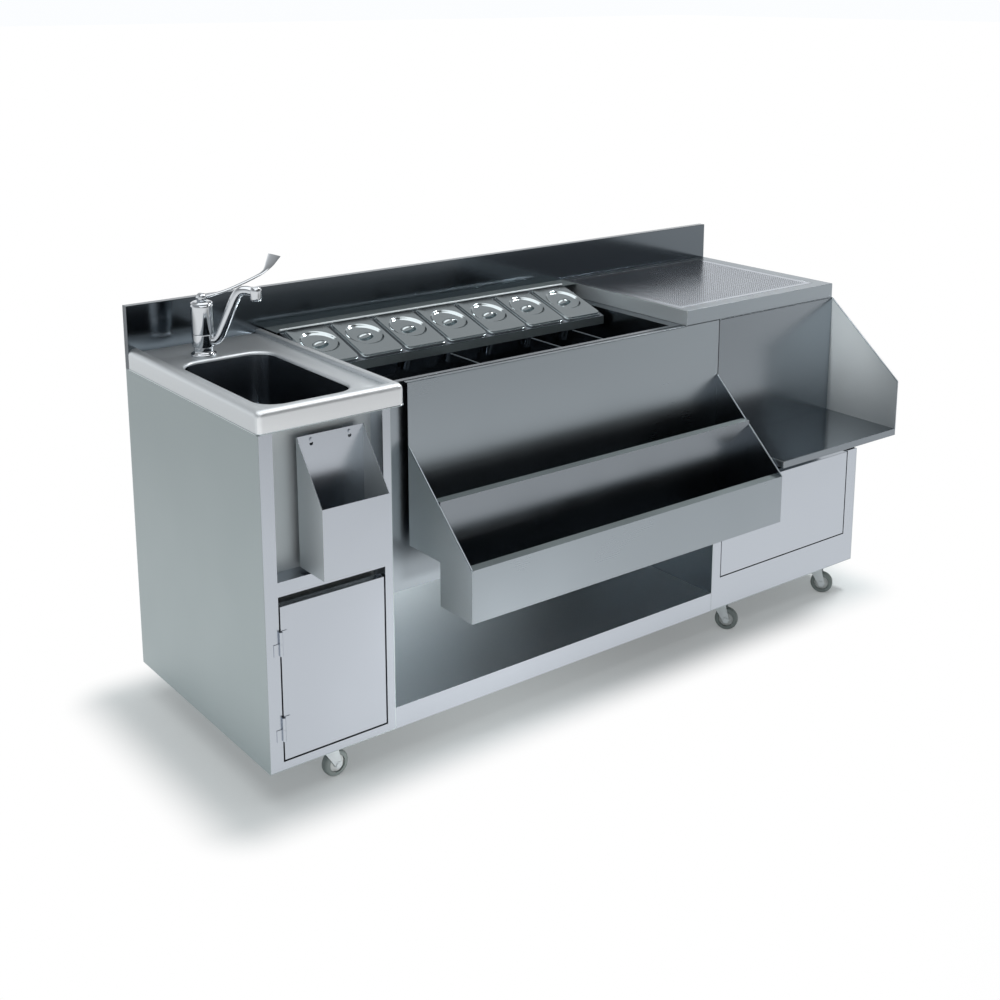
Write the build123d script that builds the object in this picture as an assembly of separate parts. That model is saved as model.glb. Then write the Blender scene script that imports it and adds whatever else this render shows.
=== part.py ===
from build123d import *
import math
import os

# A stainless steel cocktail station on casters. A sink cabinet stands on the left, an ice well with a
# sloping row of garnish pans is in the middle, and a perforated drainer stands over a waste cabinet on
# the right. A speed rail, a shelf and a small box hang on its front.
# Sizes are in millimetres. While a piece is drawn, x runs from the left end to the right, y from the
# cabinet fronts to the back, and z up from the floor. Each finished piece is then moved so that the
# origin lies on the floor in the middle of the footprint.

# Whole station
LENGTH = 1900.0
DEPTH = 650.0
FRONT_REACH = 126.0  # how far the rail and the shelf stand in front of the cabinets
BODY_HEIGHT = 750.0  # cabinet bottom to worktop underside
EDGE_HEIGHT = 50.0  # worktop edge
SHEET = 1.5  # stainless sheet
CLEARANCE = 0.3  # between pieces that slide or turn past each other
RUNNING = 0.05  # radial clearance of a pin in its bore
PASSING = 1.0  # radial clearance of a pipe or a shank in a plain hole

# Backsplash
SPLASH_RISE = 103.0
SPLASH_THICKNESS = 20.0

# Left cabinet and its front
LEFT_WIDTH = 317.0
LEFT_STILE = 32.5
INNER_STILE = 21.0
DOOR_GAP = 3.5
DOOR_RISE = 23.0  # door bottom over cabinet bottom
DOOR_THICKNESS = 20.0
FINGER_GAP = 22.0
FRONT_RAIL = 32.0  # strip over the finger gap
RECESS_HEIGHT = 323.0
RECESS_DEPTH = 48.0
HINGE_HEIGHT = 54.0
HINGE_FROM_BOTTOM = 74.0
HINGE_FROM_TOP = 81.0
HINGE_RADIUS = 4.0
HINGE_LEAF = 16.0
HINGE_PIN_RADIUS = 2.0

# Sink top, bowl and waste
SINK_TOP_WIDTH = 355.0
RIM_WIDTH = 24.0
RIM_RISE = 10.0
RIM_ROUND = 7.0
BOWL_LEFT = 48.0
BOWL_WIDTH = 224.0
BOWL_FRONT = 58.0
BOWL_TO_TAP = 42.0
BOWL_DEPTH = 180.0
BOWL_CORNER = 50.0
BOWL_FLOOR_ROUND = 22.0
BOWL_FLANGE = 9.0
WASTE_RADIUS = 20.0
WASTE_FLANGE = 32.0
WASTE_LENGTH = 85.0

# Mixer tap
TAP_FROM_LEFT = 135.0
TAP_FROM_SPLASH = 118.0
TAP_RADIUS = 23.0
TAP_HEAD_RADIUS = 26.0
TAP_HEIGHT = 123.0
TAP_FOOT_RADIUS = 30.0
TAP_FOOT = 6.0
TAP_SHANK_RADIUS = 16.0
TAP_SHANK = 55.0
TAP_NECK_RADIUS = 19.0
COLLAR_RADIUS = 26.0
COLLAR_LOW = 22.0
COLLAR_HEIGHT = 30.0
SPOUT_TURN = -45.0
SPOUT_RADIUS = 10.0
SPOUT_REACH = 130.0
SPOUT_ROOT = 37.0
SPOUT_CREST = 88.0
SPOUT_RISE = 165.0
SPOUT_BEND = 22.0
NOZZLE_RADIUS = 14.0
NOZZLE_HEIGHT = 32.0
CAP_RADIUS = 23.0
CAP_HEIGHT = 5.0
CAP_STEM_RADIUS = 8.0
CAP_STEM = 18.0
LEVER_TURN = 6.0
LEVER_PIVOT_RISE = 13.0
LEVER_EYE_RADIUS = 6.5
LEVER_PIN_RADIUS = 2.5
LEVER_WIDTH = 12.0
LEVER_LINE = ((74.0, 8.0), (137.0, 24.0), (180.0, 38.0))
LEVER_TIP = (204.0, 73.0)
LEVER_THICKNESS = 5.0
PADDLE_WIDTH = 46.0
PADDLE_ROOT = 16.0
EAR_THICKNESS = 3.0
EAR_GAP = 1.0

# Box hung on the left front
BOX_RIGHT_GAP = 30.0
BOX_WIDTH = 163.0
BOX_DEPTH = 99.5
BOX_RISE = 8.0  # over the recess's ledge
BOX_FRONT_HEIGHT = 156.0
BOX_BACK_HEIGHT = 285.0
BOX_STAND_OFF = 18.5
STUD_INSET = 35.0
STUD_DROP = 10.5
STUD_NECK_RADIUS = 2.2
STUD_HEAD_RADIUS = 3.8
STUD_HEAD = 2.5
STUD_COLLAR_RADIUS = 8.0
KEYHOLE_RADIUS = 4.3
KEYHOLE_SLOT = 5.0
KEYHOLE_LENGTH = 9.0

# Housing of the ice well, and the right cabinet
RIGHT_WIDTH = 580.0
HOUSING_FRONT = 135.0
HOUSING_HEIGHT = 505.0
PANEL_DROP = 40.0  # worktop down to the top of the rail and of the well's flange
SHELF_ROOM_HEIGHT = 90.0  # shelf down to the top of the right cabinet
STILE_WIDTH = 32.0
END_STILE = 40.0
STILE_RETURN = 40.0
TOP_SETBACK = 45.0  # finger room over the flap
FLAP_BASE_HEIGHT = 90.0
FLAP_TOP_GAP = 2.0
FLAP_GAP = 3.0
FLAP_THICKNESS = 20.0
FLAP_PIVOT_BACK = 8.0
FLAP_PIVOT_DROP = 6.0
FLAP_PIN_RADIUS = 3.0
FLAP_PIN_LENGTH = 9.0
BIN_INSET = 25.0
BIN_FRONT = 215.0  # clear of the flap when it swings in
BIN_BACK_GAP = 53.5
BIN_HEADROOM = 85.0
BASE_RISE = 51.0

# Ice well and its dividers
WELL_LEFT_FLANGE = 5.0
WELL_RIGHT_FLANGE = 35.0
WELL_FRONT_FLANGE = 15.0
WELL_BACK_FLANGE = 20.0
WELL_DEPTH = 300.0
FIRST_BAY_WIDTH = 377.0
SECOND_BAY_WIDTH = 261.0
THIRD_BAY_WIDTH = 142.0
DIVIDER_DROP = 33.0
DIVIDER_GAP = 17.0  # divider to the rack's front lip
DIVIDER_FOOT = 24.0
GUIDE_DEPTH = 12.0
GUIDE_WIDTH = 4.0
GUIDE_HEIGHT = 65.0
DRAIN_RADIUS = 16.0
DRAIN_FLANGE = 28.0
DRAIN_REACH = 40.0

# Sloping rack with its pans and lids
RACK_TILT = 17.0
RACK_LENGTH = 185.0
RACK_REAR_STRIP = 66.0
RACK_LIP = 22.0
RACK_TAB = 16.0  # how far the right tab lies on the well's flange
RACK_LEFT_GAP = 1.5
RACK_RIGHT_GAP = 17.0
RACK_TAB_LENGTH = 110.0
PAN_COUNT = 7
PAN_SPACING = 2.0
PAN_FLANGE_LENGTH = 178.0
PAN_FLANGE = 8.0
PAN_WALL = 1.0
PAN_DEPTH = 65.0
PAN_CORNER = 16.0
PAN_FIT = 1.5
LID_INSET = 2.0
LID_DOME_INSET = 11.0
LID_DOME = 7.0
LID_DISH_RADIUS = 27.0
LID_DISH = 5.0
LID_HANDLE_WIDTH = 9.0
LID_HANDLE_RISE = 4.0

# Speed rail and shelf
RAIL_PLANE = 115.0  # front face of the rail's and the shelf's back panels
RAIL_LEFT = 438.0
RAIL_OVERLAP = 117.0  # how far the rail runs past the right cabinet's side
RAIL_GUSSET_DROP = 151.0
RAIL_FRONT_DROP = 371.0
RAIL_FRONT_HEIGHT = 125.0
RAIL_PANEL_HEIGHT = 390.0
RAIL_BACK_DEPTH = 121.0
RAIL_DIVIDER_DROP = 249.0
RAIL_HEM = 25.0
PANEL_HEM = 13.0
SHELF_GAP = 3.0
SHELF_DROP = 332.0
SHELF_LIP = 18.0
SHELF_GUSSET_FRONT = 136.0
CLEAT_HEIGHT = 30.0
CLEAT_DROP = 18.0
CLEAT_LIP = 15.0
CLEAT_REACH = 9.0
CLEAT_INSET = 60.0
BUTTON_RADIUS = 10.0
BUTTON_RISE = 40.0
BUTTON_INSET = 120.0

# Perforated drainer on the right
FASCIA_SETBACK = 3.0
DRAIN_MARGIN_LEFT = 8.0
DRAIN_MARGIN_RIGHT = 40.0
DRAIN_MARGIN_FRONT = 37.0
DRAIN_MARGIN_BACK = 20.0
TRAY_EDGE = 4.0
TRAY_LEDGE = 9.0
TRAY_FIT = 0.6
TRAY_BORDER = 16.0
HOLE_RADIUS = 5.0
HOLE_PITCH = 30.0
DRIP_DEPTH = 40.0
DRIP_INSET = 20.0

# Casters
CASTER_LEFT_X = 160.0
CASTER_RIGHT_INSET = 76.0
CASTER_END_INSET = 109.0
CASTER_FRONT_Y = 42.0
CASTER_BACK_INSET = 50.0
CASTER_TURNS = (95.0, 35.0, 35.0, 60.0, 20.0, 35.0)  # front row from the left, then back row
CASTER_PLATE = 60.0
CASTER_PLATE_THICKNESS = 3.0
RACE_RADIUS = 18.0
RACE_HEIGHT = 8.0
KINGPIN_RADIUS = 6.0
KINGPIN_HEAD_RADIUS = 10.0
KINGPIN_HEAD = 3.5
TREAD_GAP = 4.2  # kingpin head to the top of the wheel
CROWN_BACK = 22.0
CROWN_NOSE = 13.0
CROWN_THICKNESS = 3.7
FORK_SHEET = 2.5
FORK_SIDE_GAP = 1.5
WHEEL_RADIUS = 31.0
WHEEL_WIDTH = 22.0
WHEEL_ROUND = 4.0
HUB_RADIUS = 20.0
HUB_RECESS = 4.0
TRAIL = 22.0
AXLE_RADIUS = 4.0
AXLE_HEAD_RADIUS = 7.0
AXLE_HEAD = 3.0

# Heights and places that follow from the sizes above
caster_head = KINGPIN_HEAD + CROWN_THICKNESS + 2 * CLEARANCE + RACE_HEIGHT + CASTER_PLATE_THICKNESS
floor_gap = 2 * WHEEL_RADIUS + TREAD_GAP + caster_head
body_top = floor_gap + BODY_HEIGHT
work_top = body_top + EDGE_HEIGHT
deck = work_top - RIM_RISE
panel_top = work_top - PANEL_DROP
ledge = body_top - RECESS_HEIGHT
door_top = ledge - FRONT_RAIL - FINGER_GAP
door_bottom = floor_gap + DOOR_RISE
box_bottom = ledge + BOX_RISE
box_right = LEFT_WIDTH - INNER_STILE - BOX_RIGHT_GAP
housing_bottom = panel_top - HOUSING_HEIGHT
shelf_top = panel_top - SHELF_DROP
right_top = shelf_top - SHELF_ROOM_HEIGHT
flap_top = right_top - FLAP_TOP_GAP
flap_bottom = floor_gap + FLAP_BASE_HEIGHT
base_top = floor_gap + BASE_RISE
splash_front = DEPTH - SPLASH_THICKNESS
back_face = DEPTH - SHEET
right_start = LENGTH - RIGHT_WIDTH
tap_x = TAP_FROM_LEFT
tap_y = splash_front - TAP_FROM_SPLASH
bowl_right = BOWL_LEFT + BOWL_WIDTH
bowl_back = tap_y - BOWL_TO_TAP
bowl_x = BOWL_LEFT + BOWL_WIDTH / 2
bowl_y = (BOWL_FRONT + bowl_back) / 2
bowl_floor = deck - BOWL_DEPTH
well_left = SINK_TOP_WIDTH + WELL_LEFT_FLANGE
well_right = right_start - WELL_RIGHT_FLANGE
well_front = HOUSING_FRONT + WELL_FRONT_FLANGE
well_back = splash_front - WELL_BACK_FLANGE
well_floor = panel_top - WELL_DEPTH
rail_right = right_start + RAIL_OVERLAP
panel_back = RAIL_PLANE + SHEET
rack_back = splash_front - RACK_REAR_STRIP
rack_slope = math.radians(RACK_TILT)
rack_front = rack_back - RACK_LENGTH * math.cos(rack_slope)
rack_front_z = work_top - RACK_LENGTH * math.sin(rack_slope)
rack_left = well_left + RACK_LEFT_GAP
rack_right = well_right - RACK_RIGHT_GAP
pan_pitch = (rack_right - rack_left - 2 * SHEET) / PAN_COUNT

to_origin = Pos(-LENGTH / 2, (FRONT_REACH - DEPTH) / 2, 0)
os.makedirs("parts", exist_ok=True)


def save(name, *pieces):
    """Moves the solids of one sub-part to the origin and writes them to its file."""
    solids = [to_origin * solid for piece in pieces for solid in piece.solids()]
    shape = solids[0] if len(solids) == 1 else Compound(children=solids)
    export_step(shape, f"parts/{name}.step")


def block(x, y, z):
    """A box between the two limits given for each axis."""
    size = Box(x[1] - x[0], y[1] - y[0], z[1] - z[0])
    return Pos((x[0] + x[1]) / 2, (y[0] + y[1]) / 2, (z[0] + z[1]) / 2) * size


def rounded_block(x, y, z, corner):
    """A box whose upright edges are rounded."""
    face = RectangleRounded(x[1] - x[0], y[1] - y[0], corner)
    return Pos((x[0] + x[1]) / 2, (y[0] + y[1]) / 2, z[0]) * extrude(face, amount=z[1] - z[0])


def side_plate(outline, x):
    """A plate with an outline in y and z, between two x limits."""
    face = make_face(Polyline(*outline, close=True))
    return extrude(Plane.YZ.offset(x[0]) * face, amount=x[1] - x[0])


def post(x, y, radius, z):
    """An upright cylinder between two heights."""
    return Pos(x, y, (z[0] + z[1]) / 2) * Cylinder(radius, z[1] - z[0])


def cross_pin(y, z, radius, x):
    """A cylinder along x between two limits."""
    return Pos((x[0] + x[1]) / 2, y, z) * Rot(0, 90, 0) * Cylinder(radius, x[1] - x[0])


def depth_pin(x, z, radius, y):
    """A cylinder along y between two limits."""
    return Pos(x, (y[0] + y[1]) / 2, z) * Rot(90, 0, 0) * Cylinder(radius, y[1] - y[0])


# Left cabinet: two sides and a floor, with the front frame set between them
def left_cabinet():
    inner = (SHEET, LEFT_WIDTH - SHEET)
    rise = (floor_gap, body_top)
    left = block((0, SHEET), (0, back_face), rise)
    right = block((LEFT_WIDTH - SHEET, LEFT_WIDTH), (0, back_face), rise)
    floor = block(inner, (0, back_face), (floor_gap, floor_gap + SHEET))
    save("left_cabinet_shell", left, right, floor)

    opening = (LEFT_STILE, LEFT_WIDTH - INNER_STILE)
    front = (0, SHEET)
    behind = (SHEET, RECESS_DEPTH + SHEET)
    above_floor = (floor_gap + SHEET, body_top)
    rail_bottom = door_top + FINGER_GAP
    save(
        "left_front_frame",
        block((SHEET, LEFT_STILE), front, above_floor),
        block((opening[1], LEFT_WIDTH - SHEET), front, above_floor),
        block((LEFT_STILE - SHEET, LEFT_STILE), behind, above_floor),
        block((opening[1], opening[1] + SHEET), behind, above_floor),
        block(opening, front, (floor_gap + SHEET, door_bottom - DOOR_GAP)),
        block(opening, front, (rail_bottom, ledge - SHEET)),
        block(opening, (0, RECESS_DEPTH + SHEET), (ledge - SHEET, ledge)),
        block(opening, (RECESS_DEPTH, RECESS_DEPTH + SHEET), (ledge, body_top)),
    )


# Door of the left cabinet: a folded skin with returns, open behind
def left_door():
    x = (LEFT_STILE + DOOR_GAP, LEFT_WIDTH - INNER_STILE - DOOR_GAP)
    z = (door_bottom, door_top)
    skin = block(x, (0, DOOR_THICKNESS), z)
    hollow = block(
        (x[0] + SHEET, x[1] - SHEET), (SHEET, DOOR_THICKNESS), (z[0] + SHEET, z[1] - SHEET)
    )
    save("left_door", skin - hollow)


# Door hinges: a fixed post with its pin below, a sleeve on the door above, each with a leaf.
# The waste flap's two pivot pins are fixed pins too and go with the posts.
def hinges():
    x = LEFT_STILE + DOOR_GAP / 2
    y = -HINGE_RADIUS
    half = HINGE_HEIGHT / 2
    posts = []
    sleeves = []
    for middle in (door_bottom + HINGE_FROM_BOTTOM, door_top - HINGE_FROM_TOP):
        low = (middle - half, middle - CLEARANCE / 2)
        high = (middle + CLEARANCE / 2, middle + half)
        barrel = post(x, y, HINGE_RADIUS, low)
        leaf = block((x - HINGE_LEAF, x), (-SHEET, 0), low)
        pin = post(x, y, HINGE_PIN_RADIUS, (low[0], high[1]))
        posts.append(barrel + leaf + pin)
        sleeve = post(x, y, HINGE_RADIUS, high) + block((x, x + HINGE_LEAF), (-SHEET, 0), high)
        sleeves.append(sleeve - post(x, y, HINGE_PIN_RADIUS + RUNNING, high))
    for wall, way in ((right_start + STILE_WIDTH, 1), (LENGTH - END_STILE, -1)):
        reach = sorted((wall, wall + way * FLAP_PIN_LENGTH))
        posts.append(cross_pin(FLAP_PIVOT_BACK, flap_top - FLAP_PIVOT_DROP, FLAP_PIN_RADIUS, reach))
    save("hinge_pins", *posts)
    save("hinge_sleeves", *sleeves)


# Sink top: a deck inside a raised rounded rim, with a folded edge on three sides
def sink_top():
    x = (0, SINK_TOP_WIDTH)
    y = (0, splash_front)
    body = block(x, y, (body_top, work_top))
    rim_edges = body.edges().group_by(Axis.Z)[-1].sort_by(Axis.Y)[:3]
    corner_edges = body.edges().filter_by(Axis.Z).group_by(Axis.Y)[0]
    body = fillet(rim_edges + corner_edges, RIM_ROUND)
    inner_x = (RIM_WIDTH, SINK_TOP_WIDTH - RIM_WIDTH)
    well = block(inner_x, (RIM_WIDTH, splash_front), (deck, work_top))
    well = fillet(well.edges().filter_by(Axis.Z).group_by(Axis.Y)[0], RIM_ROUND)
    under_deck = block(
        (SHEET, SINK_TOP_WIDTH - SHEET), (SHEET, splash_front - SHEET), (body_top, deck - SHEET)
    )
    inside_rim = block(
        (RIM_ROUND, SINK_TOP_WIDTH - RIM_ROUND),
        (RIM_ROUND, splash_front - SHEET),
        (deck - SHEET, work_top - SHEET),
    )
    rim_core = block(
        (RIM_WIDTH - SHEET, SINK_TOP_WIDTH - RIM_WIDTH + SHEET),
        (RIM_WIDTH - SHEET, splash_front),
        (deck - SHEET, work_top),
    )
    opening = rounded_block(
        (BOWL_LEFT, bowl_right), (BOWL_FRONT, bowl_back), (body_top, work_top), BOWL_CORNER
    )
    tap_hole = post(tap_x, tap_y, TAP_SHANK_RADIUS + PASSING, (body_top, work_top))
    save("sink_top", body - well - under_deck - (inside_rim - rim_core) - opening - tap_hole)


# Sink bowl: a pressed bowl with a flange under the deck and a waste hole
def sink_bowl():
    x = (BOWL_LEFT, bowl_right)
    y = (BOWL_FRONT, bowl_back)
    under = deck - SHEET
    flange = rounded_block(
        (x[0] - BOWL_FLANGE, x[1] + BOWL_FLANGE),
        (y[0] - BOWL_FLANGE, y[1] + BOWL_FLANGE),
        (under - SHEET, under),
        BOWL_CORNER + BOWL_FLANGE,
    )
    wall = PAN_WALL
    shell = rounded_block(
        (x[0] - wall, x[1] + wall), (y[0] - wall, y[1] + wall), (bowl_floor - wall, under), BOWL_CORNER + wall
    )
    shell = fillet(shell.edges().group_by(Axis.Z)[0], BOWL_FLOOR_ROUND + wall)
    inside = rounded_block(x, y, (bowl_floor, deck), BOWL_CORNER)
    inside = fillet(inside.edges().group_by(Axis.Z)[0], BOWL_FLOOR_ROUND)
    hole = post(bowl_x, bowl_y, WASTE_RADIUS, (bowl_floor - SHEET, deck))
    save("sink_bowl", flange + shell - inside - hole)

    seat = (bowl_floor, bowl_floor + SHEET)
    tail = (bowl_floor - WASTE_LENGTH, bowl_floor + SHEET)
    outside = WASTE_RADIUS - CLEARANCE
    ring = post(bowl_x, bowl_y, WASTE_FLANGE, seat) + post(bowl_x, bowl_y, outside, tail)
    save("sink_waste", ring - post(bowl_x, bowl_y, outside - 2 * SHEET, tail))


# Mixer tap: body, swinging spout, turning cap and tilting lever
def tap():
    top = deck + TAP_HEIGHT
    collar = (deck + COLLAR_LOW, deck + COLLAR_LOW + COLLAR_HEIGHT)
    shank = (deck - TAP_SHANK, deck)
    nut = (deck - SHEET - RIM_RISE, deck - SHEET)
    body = post(tap_x, tap_y, TAP_FOOT_RADIUS, (deck, deck + TAP_FOOT))
    body += post(tap_x, tap_y, TAP_RADIUS, (deck, collar[0] - CLEARANCE))
    body += post(tap_x, tap_y, TAP_NECK_RADIUS, (deck, top))
    body += post(tap_x, tap_y, TAP_HEAD_RADIUS, (collar[1] + CLEARANCE, top))
    body += post(tap_x, tap_y, TAP_SHANK_RADIUS, shank)
    body += post(tap_x, tap_y, TAP_RADIUS, nut)
    body -= post(tap_x, tap_y, CAP_STEM_RADIUS + RUNNING, (top - CAP_STEM - CLEARANCE, top))
    save("tap_body", body)

    middle = (collar[0] + collar[1]) / 2
    rise = SPOUT_RISE - SPOUT_RADIUS - (middle - deck)
    path = FilletPolyline(
        (TAP_NECK_RADIUS + SHEET, 0, 0),
        (SPOUT_ROOT, 0, 0),
        (SPOUT_CREST, 0, rise),
        (SPOUT_REACH, 0, rise),
        radius=SPOUT_BEND,
    )
    tube = sweep(Plane(path @ 0, z_dir=path % 0) * Circle(SPOUT_RADIUS), path=path)
    nozzle = post(SPOUT_REACH, 0, NOZZLE_RADIUS, (rise + SPOUT_RADIUS - NOZZLE_HEIGHT, rise + SPOUT_RADIUS))
    half = COLLAR_HEIGHT / 2
    spout = post(0, 0, COLLAR_RADIUS, (-half, half)) + tube + nozzle
    spout -= post(0, 0, TAP_NECK_RADIUS + RUNNING, (-half, half))
    save("tap_spout", Pos(tap_x, tap_y, middle) * Rot(0, 0, SPOUT_TURN) * spout)

    at_cap = Pos(tap_x, tap_y, top + CLEARANCE) * Rot(0, 0, LEVER_TURN)
    pivot = LEVER_PIVOT_RISE
    eye_half = LEVER_WIDTH / 2
    cap = post(0, 0, CAP_RADIUS, (0, CAP_HEIGHT)) + post(0, 0, CAP_STEM_RADIUS, (-CAP_STEM, 0))
    for way in (-1, 1):
        ear = sorted((way * (eye_half + EAR_GAP), way * (eye_half + EAR_GAP + EAR_THICKNESS)))
        cap += block((-LEVER_EYE_RADIUS, LEVER_EYE_RADIUS), ear, (0, pivot))
        cap += depth_pin(0, pivot, LEVER_EYE_RADIUS, ear)
    pin_half = eye_half + EAR_GAP + EAR_THICKNESS
    cap += depth_pin(0, pivot, LEVER_PIN_RADIUS, (-pin_half, pin_half))
    save("tap_cap", at_cap * cap)

    half = LEVER_THICKNESS / 2
    line = ((0, 0),) + LEVER_LINE
    upper = [(r, z + half) for r, z in line]
    lower = [(r, z - half) for r, z in reversed(line)]
    on_side = Plane.XZ.offset(-eye_half)
    arm = extrude(on_side * make_face(Polyline(*upper, *lower, close=True)), amount=LEVER_WIDTH)
    root = LEVER_LINE[-1]
    blade = [
        (root[0], root[1] + half),
        (LEVER_TIP[0] - half, LEVER_TIP[1]),
        (LEVER_TIP[0] + half, LEVER_TIP[1]),
        (root[0], root[1] - half),
    ]
    side = Plane.XZ.offset(-PADDLE_WIDTH / 2)
    paddle = extrude(side * make_face(Polyline(*blade, close=True)), amount=PADDLE_WIDTH)
    flare = [
        (root[0], -PADDLE_ROOT / 2),
        (LEVER_TIP[0] + half, -PADDLE_WIDTH / 2),
        (LEVER_TIP[0] + half, PADDLE_WIDTH / 2),
        (root[0], PADDLE_ROOT / 2),
    ]
    paddle = paddle & extrude(make_face(Polyline(*flare, close=True)), amount=LEVER_TIP[1])
    eye = depth_pin(0, 0, LEVER_EYE_RADIUS, (-eye_half, eye_half))
    bore = depth_pin(0, 0, LEVER_PIN_RADIUS + RUNNING, (-eye_half, eye_half))
    save("tap_lever", at_cap * Pos(0, 0, pivot) * (arm + paddle + eye - bore))


# Box hung on the recessed front: a back plate with keyholes, a floor, a front and two sloping sides
def cap_box():
    x = (box_right - BOX_WIDTH, box_right)
    back = RECESS_DEPTH - BOX_STAND_OFF
    y = (back - BOX_DEPTH, back)
    top = box_bottom + BOX_BACK_HEIGHT
    front_top = box_bottom + BOX_FRONT_HEIGHT
    plate = block(x, (y[1] - SHEET, y[1]), (box_bottom, top))
    studs = []
    for stud_x in (x[0] + STUD_INSET, x[1] - STUD_INSET):
        stud_z = top - STUD_DROP
        slot_half = KEYHOLE_SLOT / 2
        slot_top = stud_z + STUD_NECK_RADIUS + CLEARANCE
        hole_z = stud_z - KEYHOLE_LENGTH
        through = (y[1] - SHEET, y[1])
        plate -= block((stud_x - slot_half, stud_x + slot_half), through, (hole_z, slot_top))
        plate -= depth_pin(stud_x, hole_z, KEYHOLE_RADIUS, through)
        face = y[1] - SHEET - CLEARANCE
        stud = depth_pin(stud_x, stud_z, STUD_COLLAR_RADIUS, (y[1] + CLEARANCE, RECESS_DEPTH))
        stud += depth_pin(stud_x, stud_z, STUD_NECK_RADIUS, (face, RECESS_DEPTH))
        stud += depth_pin(stud_x, stud_z, STUD_HEAD_RADIUS, (face - STUD_HEAD, face))
        studs.append(stud)
    inner_y = (y[0] + SHEET, y[1] - SHEET)
    slope = [
        (inner_y[0], box_bottom + SHEET),
        (inner_y[1], box_bottom + SHEET),
        (inner_y[1], top),
        (inner_y[0], front_top),
    ]
    save(
        "cap_box",
        plate,
        block(x, (y[0], y[1] - SHEET), (box_bottom, box_bottom + SHEET)),
        block(x, (y[0], y[0] + SHEET), (box_bottom + SHEET, front_top)),
        side_plate(slope, (x[0], x[0] + SHEET)),
        side_plate(slope, (x[1] - SHEET, x[1])),
    )
    return studs


# Backsplash and the panel that closes the whole back
def back():
    outer = block((0, LENGTH), (splash_front, DEPTH), (body_top, work_top + SPLASH_RISE))
    hollow = block(
        (SHEET, LENGTH - SHEET),
        (splash_front + SHEET, DEPTH - SHEET),
        (body_top, work_top + SPLASH_RISE - SHEET),
    )
    save("backsplash", outer - hollow)
    save("back_panel", block((0, LENGTH), (back_face, DEPTH), (floor_gap, body_top)))


# Housing round the ice well, which also closes the space over the right cabinet
def well_housing():
    front = (HOUSING_FRONT, HOUSING_FRONT + SHEET)
    middle = (LEFT_WIDTH, right_start)
    floor = block(middle, (HOUSING_FRONT, back_face), (housing_bottom, housing_bottom + SHEET))
    drain_x = (well_left + well_right) / 2
    drain_y = (well_front + well_back) / 2
    floor -= post(drain_x, drain_y, DRAIN_RADIUS + PASSING, (housing_bottom, housing_bottom + SHEET))
    upper = (right_top, panel_top)
    save(
        "well_housing",
        floor,
        block(middle, front, (housing_bottom + SHEET, body_top)),
        block((SINK_TOP_WIDTH, right_start), front, (body_top, panel_top - SHEET)),
        block((right_start, LENGTH - SHEET), front, upper),
        block((LENGTH - SHEET, LENGTH), (HOUSING_FRONT, back_face), (right_top, body_top)),
        block((LENGTH - SHEET, LENGTH), (HOUSING_FRONT, splash_front), (body_top, panel_top)),
    )


# Ice well: a liner with a flange all round, guides for the dividers and a drain
def ice_well():
    x = (well_left, well_right)
    y = (well_front, well_back)
    wall = (well_floor, panel_top - SHEET)
    flange = (panel_top - SHEET, panel_top)
    floor_z = (well_floor - SHEET, well_floor)
    floor = block((x[0] - SHEET, x[1] + SHEET), (y[0] - SHEET, y[1] + SHEET), floor_z)
    drain_x = (x[0] + x[1]) / 2
    drain_y = (y[0] + y[1]) / 2
    floor -= post(drain_x, drain_y, DRAIN_RADIUS, floor_z)
    pieces = [
        floor,
        block((x[0] - SHEET, x[0]), y, wall),
        block((x[1], x[1] + SHEET), y, wall),
        block((x[0] - SHEET, x[1] + SHEET), (y[0] - SHEET, y[0]), wall),
        block((x[0] - SHEET, x[1] + SHEET), (y[1], y[1] + SHEET), wall),
        block((SINK_TOP_WIDTH, right_start), (HOUSING_FRONT, y[0]), flange),
        block((SINK_TOP_WIDTH, right_start), (y[1], splash_front), flange),
        block((SINK_TOP_WIDTH, x[0]), y, flange),
        block((x[1], right_start), y, flange),
    ]
    divider_top = panel_top - DIVIDER_DROP
    guide_low = well_floor + DIVIDER_FOOT
    guide_z = (guide_low, guide_low + GUIDE_HEIGHT)
    middle = x[0]
    for number, bay in enumerate((FIRST_BAY_WIDTH, SECOND_BAY_WIDTH, THIRD_BAY_WIDTH), start=1):
        middle += bay
        half = SHEET / 2
        for way in (-1, 1):
            near = middle + way * (half + CLEARANCE)
            guide = sorted((near, near + way * GUIDE_WIDTH))
            pieces.append(block(guide, (y[0], y[0] + GUIDE_DEPTH), guide_z))
        length = (y[0] + CLEARANCE, rack_front - SHEET - DIVIDER_GAP)
        stand = well_floor + CLEARANCE
        plate = block((middle - half, middle + half), length, (stand, divider_top))
        foot_y = (length[0] + GUIDE_DEPTH, length[1])
        foot = block((middle - half, middle - half + DIVIDER_FOOT), foot_y, (stand, stand + SHEET))
        save(f"well_divider_{number}", plate + foot)
    save("ice_well", *pieces)

    outside = DRAIN_RADIUS - CLEARANCE
    tail = (housing_bottom - DRAIN_REACH, well_floor + SHEET)
    ring = post(drain_x, drain_y, DRAIN_FLANGE, (well_floor, well_floor + SHEET))
    ring += post(drain_x, drain_y, outside, tail)
    save("well_drain", ring - post(drain_x, drain_y, outside - 2 * SHEET, tail))


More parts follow.
